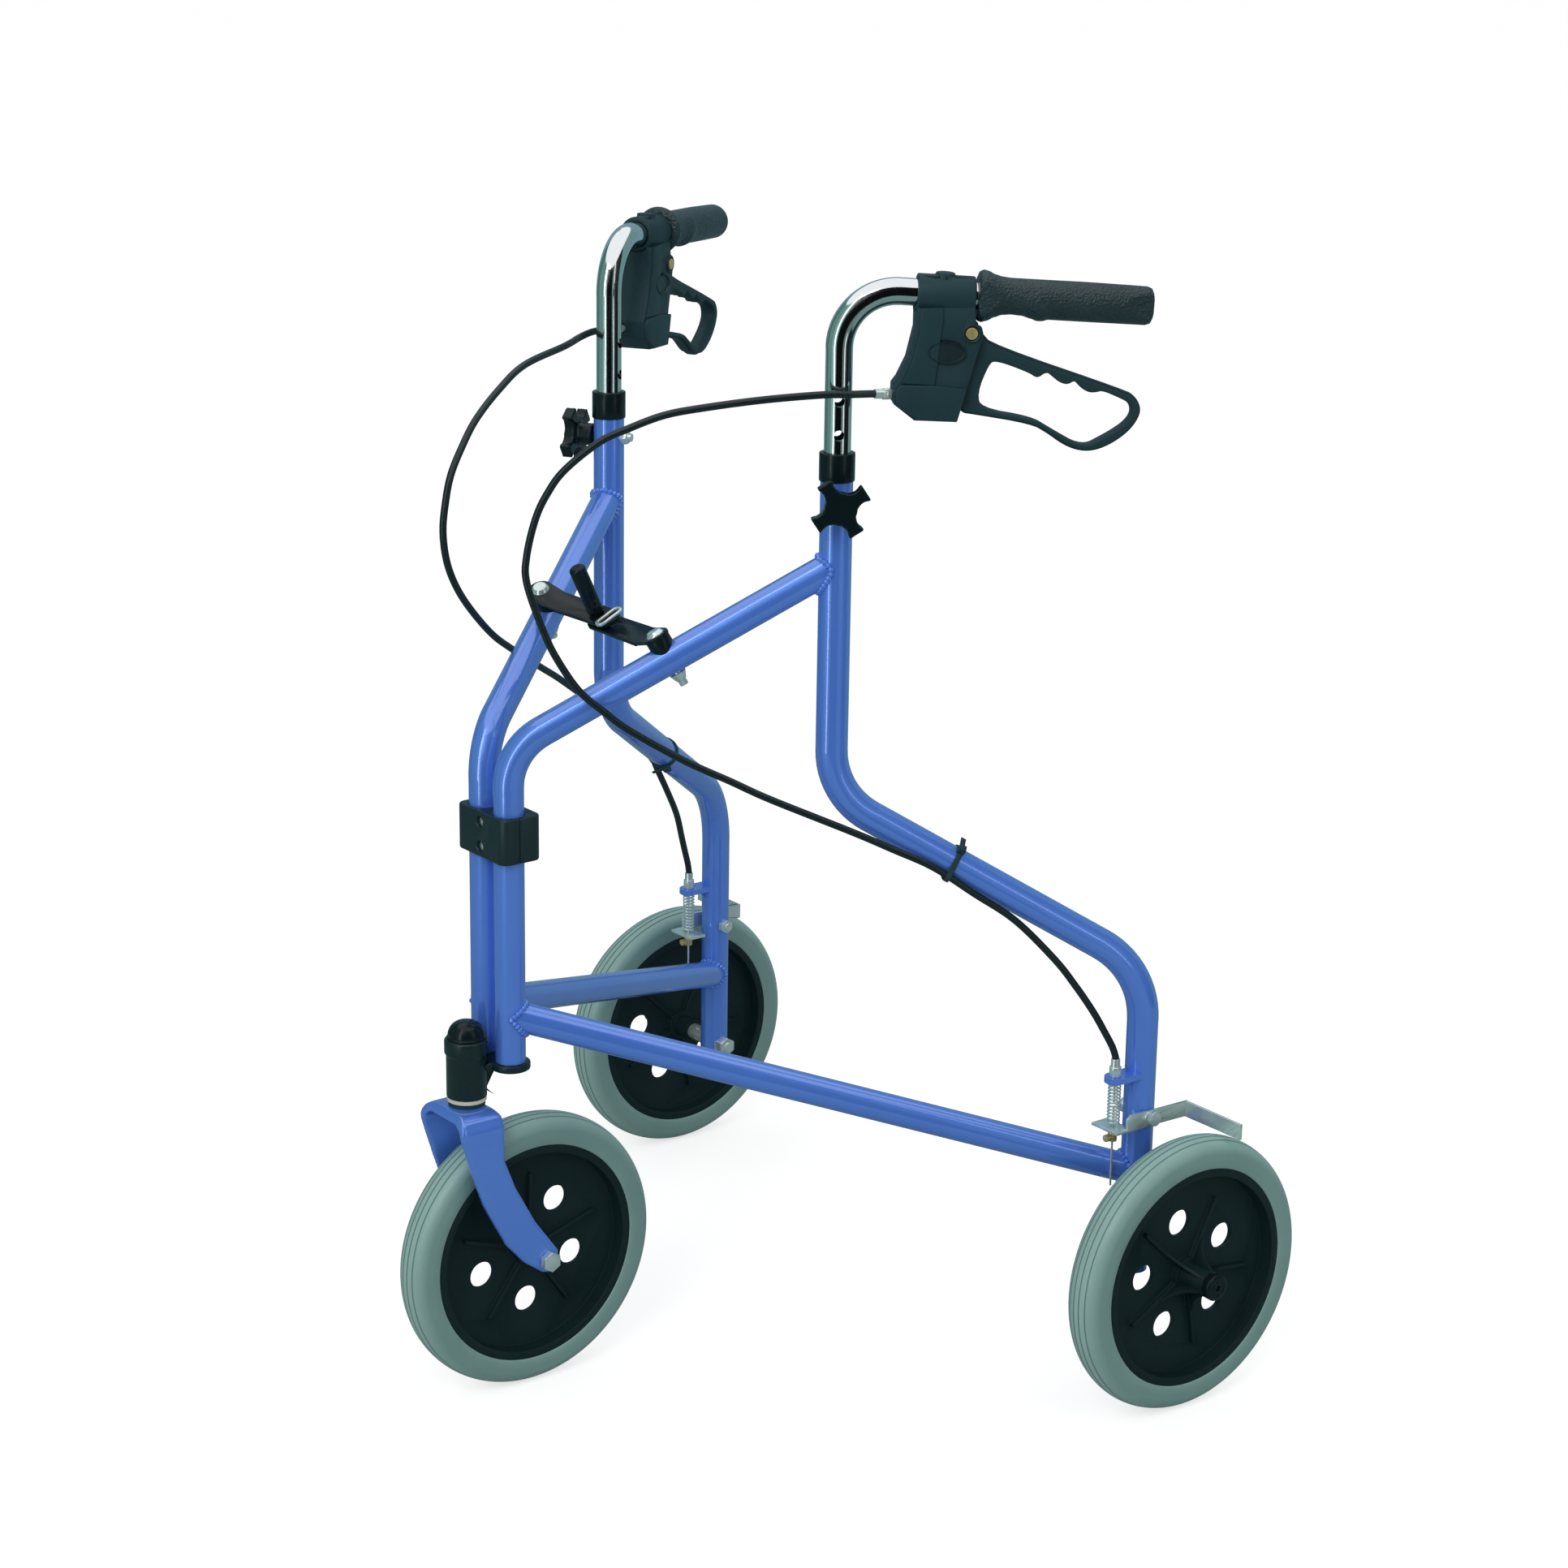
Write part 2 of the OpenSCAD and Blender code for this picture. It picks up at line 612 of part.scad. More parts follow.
// Fork: the arch seen from the front, cut to the legs' outline seen from the side
fork_side = concat(
    [[-crown_back, crown_top_z - 15], [-crown_back, crown_top_z - 36], [-crown_back + 8.8, crown_top_z - 58.5],
        [front_axle_back - 9.2, axle_z + 30.8], [front_axle_back + 9.5, axle_z + 5]],
    arc_points([front_axle_back, axle_z], fork_end_r, 25, -110, 9),
    [[front_axle_back - 19, axle_z + 2], [front_axle_back - 33, axle_z + 18], [front_axle_back - 44, axle_z + 38],
        [-crown_front + 17, crown_top_z - 66], [-crown_front + 9.5, crown_top_z - 44],
        [-crown_front + 2, crown_top_z - 20], [-crown_front, crown_top_z - 12], [-crown_front + 1.5, crown_top_z - 5],
        [-crown_front + 6, crown_top_z + 1], [-crown_back - 4, crown_top_z + 1], [-crown_back, crown_top_z - 4]]);

module fork() color(blue_paint) difference() {
    at_pivot() intersection() {
        translate([-fork_half - 1, 0, 0]) rotate([90, 0, 90]) linear_extrude(2 * fork_half + 2) polygon(fork_side);
        translate([0, front_axle_back + 20, 0]) rotate([90, 0, 0]) linear_extrude(90) difference() {
            union() {
                round_rect(-fork_half, fork_half, 60, crown_top_z, crown_round);
                translate([-fork_half, 60]) square([2 * fork_half, 60]);
            }
            round_rect(-fork_gap / 2, fork_gap / 2, 30, crown_top_z - crown_t, crown_round - fork_leg_t);
            translate([-fork_gap / 2, 30]) square([fork_gap, 60]);
        }
    }
    translate([0, head_y, crown_top_z - crown_t - 1]) cylinder(h = crown_t + 2, r = stem_r + seat_gap);
    translate([0, front_axle_y, axle_z]) bar_x(-fork_half - 1, fork_half + 1, axle_r + seat_gap);
}

module fork_stem() color(zinc_grey) translate([0, head_y, 0]) {
    flange_t = 2.5;
    translate([0, 0, crown_top_z - crown_t]) cylinder(h = nut_z + nut_h + 1 - crown_top_z + crown_t, r = stem_r);
    translate([0, 0, crown_top_z - crown_t - flange_t]) cylinder(h = flange_t - seat_gap, r = stem_r + 3);
    translate([0, 0, crown_top_z - crown_t - 1]) cylinder(h = 1, r = stem_r);
    translate([0, 0, nut_z]) cylinder(h = nut_h, r = stem_r + 2.4, $fn = 6);
}

module front_axle() color(zinc_grey) translate([0, front_axle_y, axle_z]) {
    bar_x(-fork_half - 9, fork_half + 1, axle_r);
    hex_x(fork_half + seat_gap, fork_half + 6, bolt_head_r + 1);
    bar_x(-fork_half - 1.5, -fork_half - seat_gap, bolt_head_r + 1.5);
    hex_x(-fork_half - 8, -fork_half - 1.5, bolt_head_r + 1);
    for (side = [-1, 1]) translate([side * (fork_gap / 2 - 0.6), 0, 0]) rotate([0, 90, 0])
        translate([0, 0, -0.5]) ring(1, bolt_head_r, axle_r);
}

// Wheels
module tyre() {
    half = tyre_w / 2;
    shoulder_r = wheel_r - crown_h;
    first = -(tyre_grooves - 1) / 2 * groove_pitch;
    difference() {
        rotate([0, 90, 0]) rotate_extrude($fn = 96) polygon(concat(
            [[rim_r + seat_gap, -half + 1], [shoulder_r - 4, -half]],
            [for (i = [0 : 16]) [shoulder_r + crown_h * sin(i * 180 / 16), -half * cos(i * 180 / 16)]],
            [[shoulder_r - 4, half], [rim_r + seat_gap, half - 1]]));
        for (i = [0 : 1 : tyre_grooves - 1]) translate([first + i * groove_pitch - groove_size / 2, 0, 0])
            rotate([0, 90, 0]) ring(groove_size, wheel_r + 1,
                shoulder_r + crown_h * sqrt(1 - pow((first + i * groove_pitch) / half, 2)) - groove_size);
    }
}

// A hub with its boss, web, holes and ribs; the bore takes a plain bush at each end
module hub(outer, inner, first_angle) {
    web_r = rim_r - rim_t;
    difference() {
        union() {
            rotate([0, 90, 0]) translate([0, 0, -hub_half]) ring(2 * hub_half, rim_r, web_r);
            bar_x(-web_t / 2, web_t / 2, web_r + 1);
            bar_x(-inner, outer, boss_d / 2);
            bar_x(-web_t / 2 - rib_h, web_t / 2 + rib_h, boss_d / 2 + 3);
            for (i = [0 : web_holes - 1]) rotate([first_angle + (i + 0.5) * 360 / web_holes, 0, 0])
                translate([-web_t / 2 - rib_h + 1, 0, -rib_t / 2]) cube([web_t + 2 * rib_h - 2, rib_r, rib_t]);
        }
        bar_x(-inner - 1, outer + 1, axle_r + move_gap);
        bar_x(-inner - 1, -inner + bush_len, bush_d / 2 + seat_gap);
        bar_x(outer - bush_len - head_recess, outer + 1, bush_d / 2 + seat_gap);
        bar_x(outer - head_recess, outer + 1, bolt_head_r + move_gap);
        for (i = [0 : web_holes - 1]) rotate([first_angle + i * 360 / web_holes, 0, 0])
            translate([0, web_hole_r, 0]) bar_x(-web_t, web_t, web_hole_d / 2);
    }
}

module hub_bushes(outer, inner) {
    for (x = [-inner, outer - bush_len - head_recess]) translate([x, 0, 0]) rotate([0, 90, 0])
        ring(bush_len, bush_d / 2, axle_r + run_gap);
}

front_boss = fork_gap / 2 - 1.4;
module front_wheel_place() translate([0, front_axle_y, axle_z]) children();
module left_wheel_place() translate([wheel_x, leg_y, axle_z]) children();
module front_tyre() color(tyre_grey) front_wheel_place() tyre();
module front_hub() color(black_plastic) front_wheel_place() hub(front_boss, front_boss, front_hole_angle);
module front_bushes() color(washer_white) front_wheel_place() hub_bushes(front_boss, front_boss);
module tyre_left() color(tyre_grey) left_wheel_place() tyre();
module tyre_right() right_side() tyre_left();
module hub_left() color(black_plastic) left_wheel_place() hub(boss_out, boss_in, rear_hole_angle);
module hub_right() right_side() hub_left();
module bushes_left() color(washer_white) left_wheel_place() hub_bushes(boss_out, boss_in);
module bushes_right() right_side() bushes_left();

// Frame tubes, coped where they are welded to their neighbours
module front_tube_left() color(blue_paint) difference() {
    left_frame() pipe_run(front_path, [front_bend_r], front_tube_r, front_bore_r);
    left_frame() translate([upright_s, 0, upright_corner_z]) cylinder(h = 300, r = rear_tube_r + seat_gap);
    brace_hole(front_tube_d);
}

module front_tube_right() right_side() front_tube_left();

module lower_tube_left() color(blue_paint) left_frame() difference() {
    pipe_run(lower_path, [], front_tube_r, front_bore_r);
    translate([0, 0, front_foot_z - 1]) cylinder(h = 150, r = front_tube_r + seat_gap);
    translate([leg_s, 0, leg_foot_z - 1]) cylinder(h = 200, r = rear_tube_r + seat_gap);
}

module lower_tube_right() right_side() lower_tube_left();

// Upright, rear tube and leg in one, with the welded bracket for the brake cable
module rear_tube_left() color(blue_paint) {
    bracket_r = 7.5;
    low_z = cable_bracket_z - cable_bracket_t;
    difference() {
        union() {
            left_frame() pipe_run(rear_path, [upright_bend_r, leg_bend_r], rear_tube_r, rear_bore_r);
            difference() {
                union() {
                    translate([stop_x, stop_y, low_z]) cylinder(h = cable_bracket_t, r = bracket_r);
                    translate([stop_x - bracket_r, stop_y, low_z]) cube([2 * bracket_r, cable_forward, cable_bracket_t]);
                    translate([stop_x + 1.5, leg_y, low_z - 7]) rotate([90, 0, -90]) linear_extrude(3)
                        polygon([[rear_tube_r - 1, 0], [rear_tube_r + 7, 8], [rear_tube_r - 1, 8]]);
                }
                translate([leg_x, leg_y, low_z - 10]) cylinder(h = 30, r = rear_tube_r - tube_wall / 2);
            }
        }
        translate([stop_x, stop_y, low_z - 1]) cylinder(h = cable_bracket_t + 2, r = stop_thread_r + seat_gap);
        left_frame() translate([upright_s, 0, knob_z])
            bar_out(-rear_tube_r - 1, rear_tube_r + 1, knob_stud_r + seat_gap);
        translate([0, leg_y, axle_z]) bar_x(leg_x - rear_tube_d, leg_x + rear_tube_d, axle_r + seat_gap);
        translate([0, leg_y, arm_z]) bar_x(leg_x - rear_tube_d, leg_x + rear_tube_d, arm_bolt_r + run_gap);
    }
}

module rear_tube_right() right_side() rear_tube_left();

// Axle bolt with spacer, washer and nut, and the nut behind the height knob
module frame_fasteners_left() color(zinc_grey) {
    wheel_face = wheel_x - boss_in - seat_gap;
    nut_out = 8;
    translate([0, leg_y, axle_z]) {
        bar_x(leg_x - rear_tube_r - nut_out - 2, wheel_x + boss_out - head_recess + 0.5, axle_r);
        bar_x(wheel_x + boss_out - head_recess + move_gap, wheel_x + boss_out + 1, bolt_head_r);
        difference() {
            union() {
                bar_x(leg_x, wheel_face, axle_r + 2.5);
                hex_x(leg_x - rear_tube_r - nut_out, leg_x, bolt_head_r + 1);
            }
            translate([leg_x, 0, -30]) cylinder(h = 60, r = rear_tube_r + seat_gap);
        }
    }
    left_frame() translate([upright_s, 0, knob_z]) difference() {
        rotate([-90, 0, 0]) {
            cylinder(h = rear_tube_r + 4, r = 5.5, $fn = 6);
            cylinder(h = rear_tube_r + 7, r = knob_stud_r);
        }
        translate([0, 0, -30]) cylinder(h = 60, r = rear_tube_r + seat_gap);
    }
}

module frame_fasteners_right() right_side() frame_fasteners_left();

module collar_left() color(black_plastic) left_frame() translate([upright_s, 0, 0]) {
    low_z = collar_top_z - collar_h;
    translate([0, 0, low_z]) ring(upright_top_z + seat_gap - low_z, collar_d / 2, rear_tube_r + seat_gap);
    translate([0, 0, upright_top_z + seat_gap]) ring(collar_lip - seat_gap, collar_d / 2, handle_r + run_gap);
    translate([0, 0, low_z]) ring(collar_h - 1, rear_bore_r - seat_gap / 2, handle_r + run_gap);
}

module collar_right() right_side() collar_left();

// Star knob with its moulded-in stud
module clamp_knob_left() color(black_plastic) left_frame() translate([upright_s, 0, knob_z]) {
    stud_start = handle_r + move_gap;
    star_start = rear_tube_r + knob_seat + 8;
    star_t = 8;
    bar_out(stud_start, star_start + 2, knob_stud_r);
    bar_out(rear_tube_r + move_gap, star_start + 1, knob_hub_r);
    bar_out(star_start, star_start + star_t, knob_r * 0.55);
    for (i = [0 : 3]) rotate([0, -knob_arms_angle - 90 * i, 0]) frame_plate(star_start, star_t) difference() {
        translate([0, -5.5]) square([knob_r, 11]);
        for (side = [-1, 1]) translate([knob_r * 0.72, side * 11.5]) circle(r = 7.2);
    }
}

module clamp_knob_right() right_side() clamp_knob_left();

// Handles
module handle_tube_left() color(chrome_grey) difference() {
    end_u = grip_end_u - 8;
    path = [[upright_s, handle_foot_z], [upright_s, handle_z],
        [upright_s + end_u * cos(handle_drop), handle_z - end_u * sin(handle_drop)]];
    left_frame() pipe_run(path, [handle_bend_r], handle_r, handle_r - handle_wall);
    for (i = [-low_hole : high_hole]) left_frame() translate([upright_s, 0, knob_z + i * hole_pitch])
        bar_out(-handle_r - 1, handle_r + 1, height_hole_d / 2);
}

module handle_tube_right() right_side() handle_tube_left();

module grip_left() color(black_plastic) handle_axes() rotate([0, 90, 0]) difference() {
    flare_r = grip_flare_d / 2;
    neck_r = grip_r - 2;
    ridge_r = grip_r + 1.2;
    s = grip_start_u;
    rotate_extrude() polygon([[handle_r + seat_gap, s], [flare_r - 3, s], [flare_r - 0.6, s + 1.5], [flare_r, s + 4],
        [flare_r - 0.8, s + 7], [neck_r + 1.5, s + 14.5], [neck_r, s + 21], [neck_r + 0.6, s + 31],
        [ridge_r, s + 41], [grip_r, s + 48], [grip_r, grip_end_u - 3], [grip_r - 0.9, grip_end_u - 0.9],
        [grip_r - 3, grip_end_u], [0, grip_end_u], [0, grip_end_u - 7], [handle_r + seat_gap, grip_end_u - 7]]);
}

module grip_right() right_side() grip_left();

// Brake housing: clamp round the handle, body with a slot for the lever, plug on top
module brake_housing_left() color(black_plastic) handle_axes() difference() {
    half = housing_t / 2;
    oval_w = -35.4;
    union() {
        bar_x(housing_u, housing_u + clamp_len, clamp_d / 2);
        translate([housing_u + 18, 0, 0]) cylinder(h = clamp_d / 2 + 1.6, r = 6.4);
        translate([housing_u, 0, 0]) frame_plate(-half, housing_t) polygon(housing_outline);
        translate([housing_u, 0, 0]) frame_plate(-half - 1.5, housing_t + 3)
            polygon([[0, -66], [30, -69.5], [26, -81], [4, -80.5]]);
        translate([lever_pin_u, 0, lever_pin_w]) bar_out(-half - 0.8, half + 0.8, 6);
    }
    bar_x(housing_u - 1, housing_u + clamp_len + 1, handle_r + seat_gap);
    translate([housing_u, 0, 0]) frame_plate(-lever_t / 2 - 0.6, lever_t + 1.2) polygon(slot_outline);
    translate([lever_pin_u, 0, lever_pin_w]) bar_out(-half - 2, half + 2, lever_pin_d / 2 + run_gap);
    for (side = [-1, 1]) translate([lever_pin_u, 0, lever_pin_w])
        bar_out(side * (half + 1) - 1.2, side * (half + 1) + 1.2, lever_pin_d / 2 + 1.8);
    for (side = [-1, 1]) translate([housing_u + 20.2, 0, oval_w]) rotate([90, 0, 0])
        translate([0, 0, side * half]) linear_extrude(1.6, center = true)
            polygon([for (i = [0 : 35]) [12 * cos(i * 10), 6.7 * sin(i * 10)]]);
    cable_entry() bar_x(-adjuster_face - 5, -adjuster_face + adjuster_in + 1, adjuster_thread_r + seat_gap);
}

module brake_housing_right() right_side() brake_housing_left();

// Places a piece at the housing's cable entry, with -X out along the cable
module cable_entry() {
    translate([housing_u + adjuster_face - 11, 0, adjuster_w]) rotate([0, 0, adjuster_yaw]) children();
}

// Ferrule, hexagon and thread of the adjuster at the lever
adjuster_tip = -adjuster_face - adjuster_len + adjuster_in;
adjuster_thread_r = adjuster_d / 2 - 1.5;
module cable_adjuster_left() color(zinc_grey) handle_axes() cable_entry() {
    ferrule = 6;
    bar_x(adjuster_tip, adjuster_tip + ferrule, adjuster_d / 2 - 0.8);
    hex_x(adjuster_tip + ferrule, -adjuster_face - 2.6, adjuster_d / 2);
    bar_x(adjuster_tip + ferrule, -adjuster_face + adjuster_in, adjuster_thread_r);
}

module cable_adjuster_right() right_side() cable_adjuster_left();

module lever_pivot_left() color(brass_yellow) handle_axes() translate([lever_pin_u, 0, lever_pin_w]) {
    half = housing_t / 2;
    bar_out(-half - 0.9, half + 0.9, lever_pin_d / 2);
    for (side = [-1, 1]) bar_out(side * (half + 0.9) - 0.8, side * (half + 0.9) + 0.8, lever_pin_d / 2 + 1.4);
}

module lever_pivot_right() right_side() lever_pivot_left();

module brake_lever_left() color(black_plastic) handle_axes() translate([lever_pin_u, 0, lever_pin_w]) difference() {
    frame_plate(-lever_t / 2, lever_t) difference() {
        polygon(lever_outline);
        polygon(loop_outline);
    }
    bar_out(-lever_t, lever_t, lever_pin_d / 2 + run_gap);
}

module brake_lever_right() right_side() brake_lever_left();

// Brake arm: strip beside the leg, shoe across the tyre, front tab under the spring, cable clamp below it
stop_thread_r = 2.4;
module brake_arm_left() {
    half = arm_h / 2;
    rear_mid = shoe_low_z + half;
    front_reach = cable_forward - 3;
    front_mid = tab_z + half - 1;
    hole_r = 1.4;
    color(zinc_grey) difference() {
        union() {
            translate([arm_x, leg_y, 0]) rotate([90, 0, 90]) linear_extrude(arm_t)
                polygon([[-front_reach, tab_z - arm_t], [-front_reach - 1, front_mid + half - 3],
                    [-front_reach + 3, front_mid + half], [0, arm_z + half], [shoe_back, rear_mid + half],
                    [shoe_back, rear_mid - half], [0, arm_z - half], [-front_reach + 12, tab_z - arm_t]]);
            translate([arm_x, shoe_y - arm_t, shoe_low_z]) cube([shoe_end_x - arm_x, arm_t, arm_h]);
            translate([arm_x - tab_in, stop_y - tab_front, tab_z - arm_t]) cube([tab_in + arm_t, 2 * tab_front - 1, arm_t]);
        }
        translate([0, leg_y, arm_z]) bar_x(arm_x - 1, arm_x + arm_t + 1, arm_bolt_r + run_gap);
        translate([stop_x, stop_y, tab_z - arm_t - 1]) cylinder(h = arm_t + 2, r = hole_r);
    }
    color(zinc_grey) translate([stop_x, stop_y, wire_tail_z]) cylinder(h = wire_join_z - wire_tail_z, r = wire_r);
    color(brass_yellow) translate([stop_x, stop_y, tab_z - arm_t - seat_gap]) difference() {
        union() {
            translate([0, 0, -9]) cylinder(h = 9, r = 3.2);
            translate([0, 0, -6]) rotate([90, 0, 0]) cylinder(h = 7, r = 2.6);
        }
        translate([0, 0, -10]) cylinder(h = 11, r = wire_r + run_gap);
    }
}

module brake_arm_right() right_side() brake_arm_left();

module arm_bolt_left() color(zinc_grey) translate([0, leg_y, arm_z]) {
    leg_face = leg_x - rear_tube_r;
    bar_x(leg_face - 8, arm_x + arm_t + 1, arm_bolt_r);
    bar_x(arm_x + arm_t + seat_gap, arm_x + arm_t + 4, arm_bolt_r + 2.2);
    hex_x(leg_face - 6, leg_face - move_gap, arm_bolt_r + 2.5);
}

module arm_bolt_right() right_side() arm_bolt_left();

// Ferrule and adjuster that hold the cable in the frame's bracket
stop_ferrule_z = cable_bracket_z + 7;
cable_end_z = stop_ferrule_z + ferrule_len;
module cable_stop_left() color(zinc_grey) translate([stop_x, stop_y, 0]) difference() {
    union() {
        translate([0, 0, cable_bracket_z - cable_bracket_t]) cylinder(h = cable_bracket_t + 1, r = stop_thread_r);
        translate([0, 0, cable_bracket_z + seat_gap]) cylinder(h = stop_ferrule_z - cable_bracket_z, r = 4.2);
        translate([0, 0, stop_ferrule_z]) cylinder(h = ferrule_len, r = 3.2);
        translate([0, 0, wire_join_z + 3]) cylinder(h = cable_bracket_z - wire_join_z - 3, r = wire_r);
    }
    translate([0, 0, cable_end_z - 1]) cylinder(h = 2, r = 1);
}

module cable_stop_right() right_side() cable_stop_left();

// A tube of flat faces swept through rings; each ring stands square to the route
function turn_frame(t, a) = let (n = a - (a * t) * t) unit(n);
function sweep_frames(ts, n0) = [for (i = 0, n = turn_frame(ts[0], n0); i < len(ts);
    i = i + 1, n = i < len(ts) ? turn_frame(ts[i], n) : n) n];
function tangents(ps) = [for (i = [0 : len(ps) - 1]) unit(ps[min(i + 1, len(ps) - 1)] - ps[max(i - 1, 0)])];

module swept_tube(ps, r, sides, first) {
    n = len(ps);
    ts = tangents(ps);
    ns = sweep_frames(ts, first);
    points = [for (i = [0 : n - 1], j = [0 : sides - 1]) ps[i]
        + r * (cos(j * 360 / sides) * ns[i] + sin(j * 360 / sides) * cross(ts[i], ns[i]))];
    walls = [for (i = [0 : n - 2], j = [0 : sides - 1]) let (k = (j + 1) % sides, a = i * sides, b = a + sides)
        each [[a + j, b + j, a + k], [a + k, b + j, b + k]]];
    foot = [for (j = [1 : sides - 2]) [0, j, j + 1]];
    top = [for (j = [1 : sides - 2]) [(n - 1) * sides, (n - 1) * sides + j + 1, (n - 1) * sides + j]];
    polyhedron(points = points, faces = concat(walls, foot, top));
}

// A smooth curve through the route's points
function curve_point(a, b, c, d, t) = 0.5 * ((2 * b) + (c - a) * t + (2 * a - 5 * b + 4 * c - d) * t * t
    + (3 * b - a - 3 * c + d) * t * t * t);
function smooth_route(ps) = [for (i = [0 : len(ps) - 2])
    let (a = ps[max(i - 1, 0)], b = ps[i], c = ps[i + 1], d = ps[min(i + 2, len(ps) - 1)],
        steps = max(1, round(norm(c - b) / cable_step)))
    for (k = [0 : steps - 1]) curve_point(a, b, c, d, k / steps)];

// A cable's route in the frame's own axes, with straight ends into the adjuster and the ferrule
function handle_point(u, out, w) = [upright_s + u * cos(handle_drop) + w * sin(handle_drop), -out,
    handle_z - u * sin(handle_drop) + w * cos(handle_drop)];
function entry_point(d) = handle_point(housing_u + adjuster_face - 11 - d * cos(adjuster_yaw), d * sin(adjuster_yaw),
    adjuster_w);
stop_offset = [stop_x - pivot_x, stop_y - pivot_y];
stop_s = stop_offset[0] * sin(frame_angle) + stop_offset[1] * cos(frame_angle);
stop_out = stop_offset[0] * cos(frame_angle) - stop_offset[1] * sin(frame_angle);
function full_route(route) = concat(
    [entry_point(seat_gap - adjuster_tip), entry_point(cable_d - adjuster_tip)],
    [for (p = route) [p[0], -p[2], p[1]]],
    [[stop_s - 4, -stop_out, cable_end_z + 16], [stop_s, -stop_out, cable_end_z + cable_d],
        [stop_s, -stop_out, cable_end_z + seat_gap]]);
function route_rings(route) = let (ps = full_route(route)) concat(smooth_route(ps), [ps[len(ps) - 1]]);

module brake_cable_left() color(black_plastic) left_frame()
    swept_tube(route_rings(left_route), cable_d / 2, cable_sides, [0, 1, 0]);

module brake_cable_right() color(black_plastic) right_side() left_frame()
    swept_tube(route_rings(right_route), cable_d / 2, cable_sides, [0, 1, 0]);

// Brake spring: one unbroken wire of round curls with a straight end at the bracket and at the tab
curl_rings = 8;
spring_steps = spring_turns * curl_rings;
spring_rise = (spring_top_z - spring_low_z) / spring_steps;
spring_points = concat(
    [[spring_r, 0, spring_low_z - spring_wire]],
    [for (i = [0 : spring_steps]) [spring_r * cos(i * 360 / curl_rings), spring_r * sin(i * 360 / curl_rings),
        spring_low_z + i * spring_rise]],
    [[spring_r, 0, spring_top_z + spring_wire]]);
spring_least_gap = min([for (i = [1 : curl_rings]) norm(spring_points[i + curl_rings] - spring_points[i])]) - spring_wire;
echo(spring_least_gap = spring_least_gap);

module brake_spring_left() color(zinc_grey) translate([stop_x, stop_y, 0])
    swept_tube(spring_points, spring_wire / 2, 6, [1, 0, 0.01]);

module brake_spring_right() right_side() brake_spring_left();

// Folding brace
// Stands a piece on a point, with its Z along up and its X towards a direction
module stand(p, up, x_dir) {
    z = unit(up);
    x = unit(x_dir - (x_dir * z) * z);
    y = cross(z, x);
    multmatrix([[x[0], y[0], z[0], p[0]], [x[1], y[1], z[1], p[1]], [x[2], y[2], z[2], p[2]], [0, 0, 0, 1]])
        children();
}

// The left link's places; the upper link of the right side lies one step higher
function pad_point(lift) = brace_foot + (brace_seat + lift) * bolt_dir;
function pad_dir(lift) = let (p = pad_point(lift), m = apex - (norm(p - apex)) * mid_up, d = m - p)
    unit(d - (d * bolt_dir) * bolt_dir);
function bend_point(lift) = pad_point(lift) + pad_len * pad_dir(lift);
function mid_point(lift) = apex + ((bend_point(lift) - apex) * mid_up) * mid_up;

module brace_hole(depth) {
    stand(brace_foot, bolt_dir, [1, 0, 0]) translate([0, 0, -depth]) cylinder(h = 2 * depth, r = brace_bolt_d / 2 + seat_gap);
}

// One bent link: its pad on the frame's bolt and its long plate to the middle pivot and past it
module brace_link(lift, tail) {
    pad = pad_point(lift);
    bend = bend_point(lift);
    middle = mid_point(lift);
    half = link_w / 2;
    difference() {
        union() {
            stand(pad, bolt_dir, pad_dir(lift)) linear_extrude(link_t) {
                circle(r = half);
                translate([0, -half]) square([pad_len + 0.2, link_w]);
            }
            stand(middle, mid_up, bend - middle) linear_extrude(link_t) {
                translate([-tail, 0]) circle(r = half);
                translate([-tail, -half]) square([norm(bend - middle) + tail + 0.2, link_w]);
            }
        }
        stand(pad, bolt_dir, [1, 0, 0]) translate([0, 0, -1]) cylinder(h = link_t + 2, r = brace_bolt_d / 2 + run_gap);
        stand(middle, mid_up, [1, 0, 0]) translate([0, 0, -1])
            cylinder(h = link_t + 2, r = brace_bolt_d / 2 + seat_gap);
    }
}

// The lower link carries the nut of the middle pivot on its underside
module brace_link_left() {
    nut_t = 5;
    color(black_paint) brace_link(0, 0);
    color(zinc_grey) stand(mid_point(0), mid_up, [1, 0, 0]) translate([0, 0, -nut_t - seat_gap]) {
        cylinder(h = nut_t, r = 5.5, $fn = 6);
        translate([0, 0, nut_t - 1]) cylinder(h = 1 + link_t, r = brace_bolt_d / 2);
    }
}

clip_reach = 15;
module brace_link_right() color(black_paint) right_side() brace_link(link_step, clip_reach - 3);

// Standing grip on the middle pivot of the upper link
module brace_handle() color(black_plastic) right_side() stand(mid_point(link_step), mid_up, [1, 0, 0]) {
    foot_h = 2.5;
    cylinder(h = link_t + foot_h, r = brace_bolt_d / 2);
    translate([0, 0, link_t + seat_gap]) cylinder(h = foot_h, r = brace_grip_d / 2 - 0.8);
    translate([0, 0, link_t + foot_h]) cylinder(h = brace_grip_h - 1.5, r = brace_grip_d / 2);
    translate([0, 0, link_t + foot_h + brace_grip_h - 1.5])
        cylinder(h = 1.5, r1 = brace_grip_d / 2, r2 = brace_grip_d / 2 - 1.5, $fn = 48);
}

// Bright wire loop that lies across the upper link's free end
module brace_clip() color(chrome_grey) right_side() {
    middle = mid_point(link_step);
    stand(middle, mid_up, bend_point(link_step) - middle) translate([-clip_reach, 0, link_t + seat_gap]) linear_extrude(2.2)
        difference() {
            round_rect(-4.5, 4.5, -link_w / 2 - 2, link_w / 2 + 2, 4.4);
            round_rect(-2.3, 2.3, -link_w / 2 + 0.5, link_w / 2 - 0.5, 2.2);
        }
}

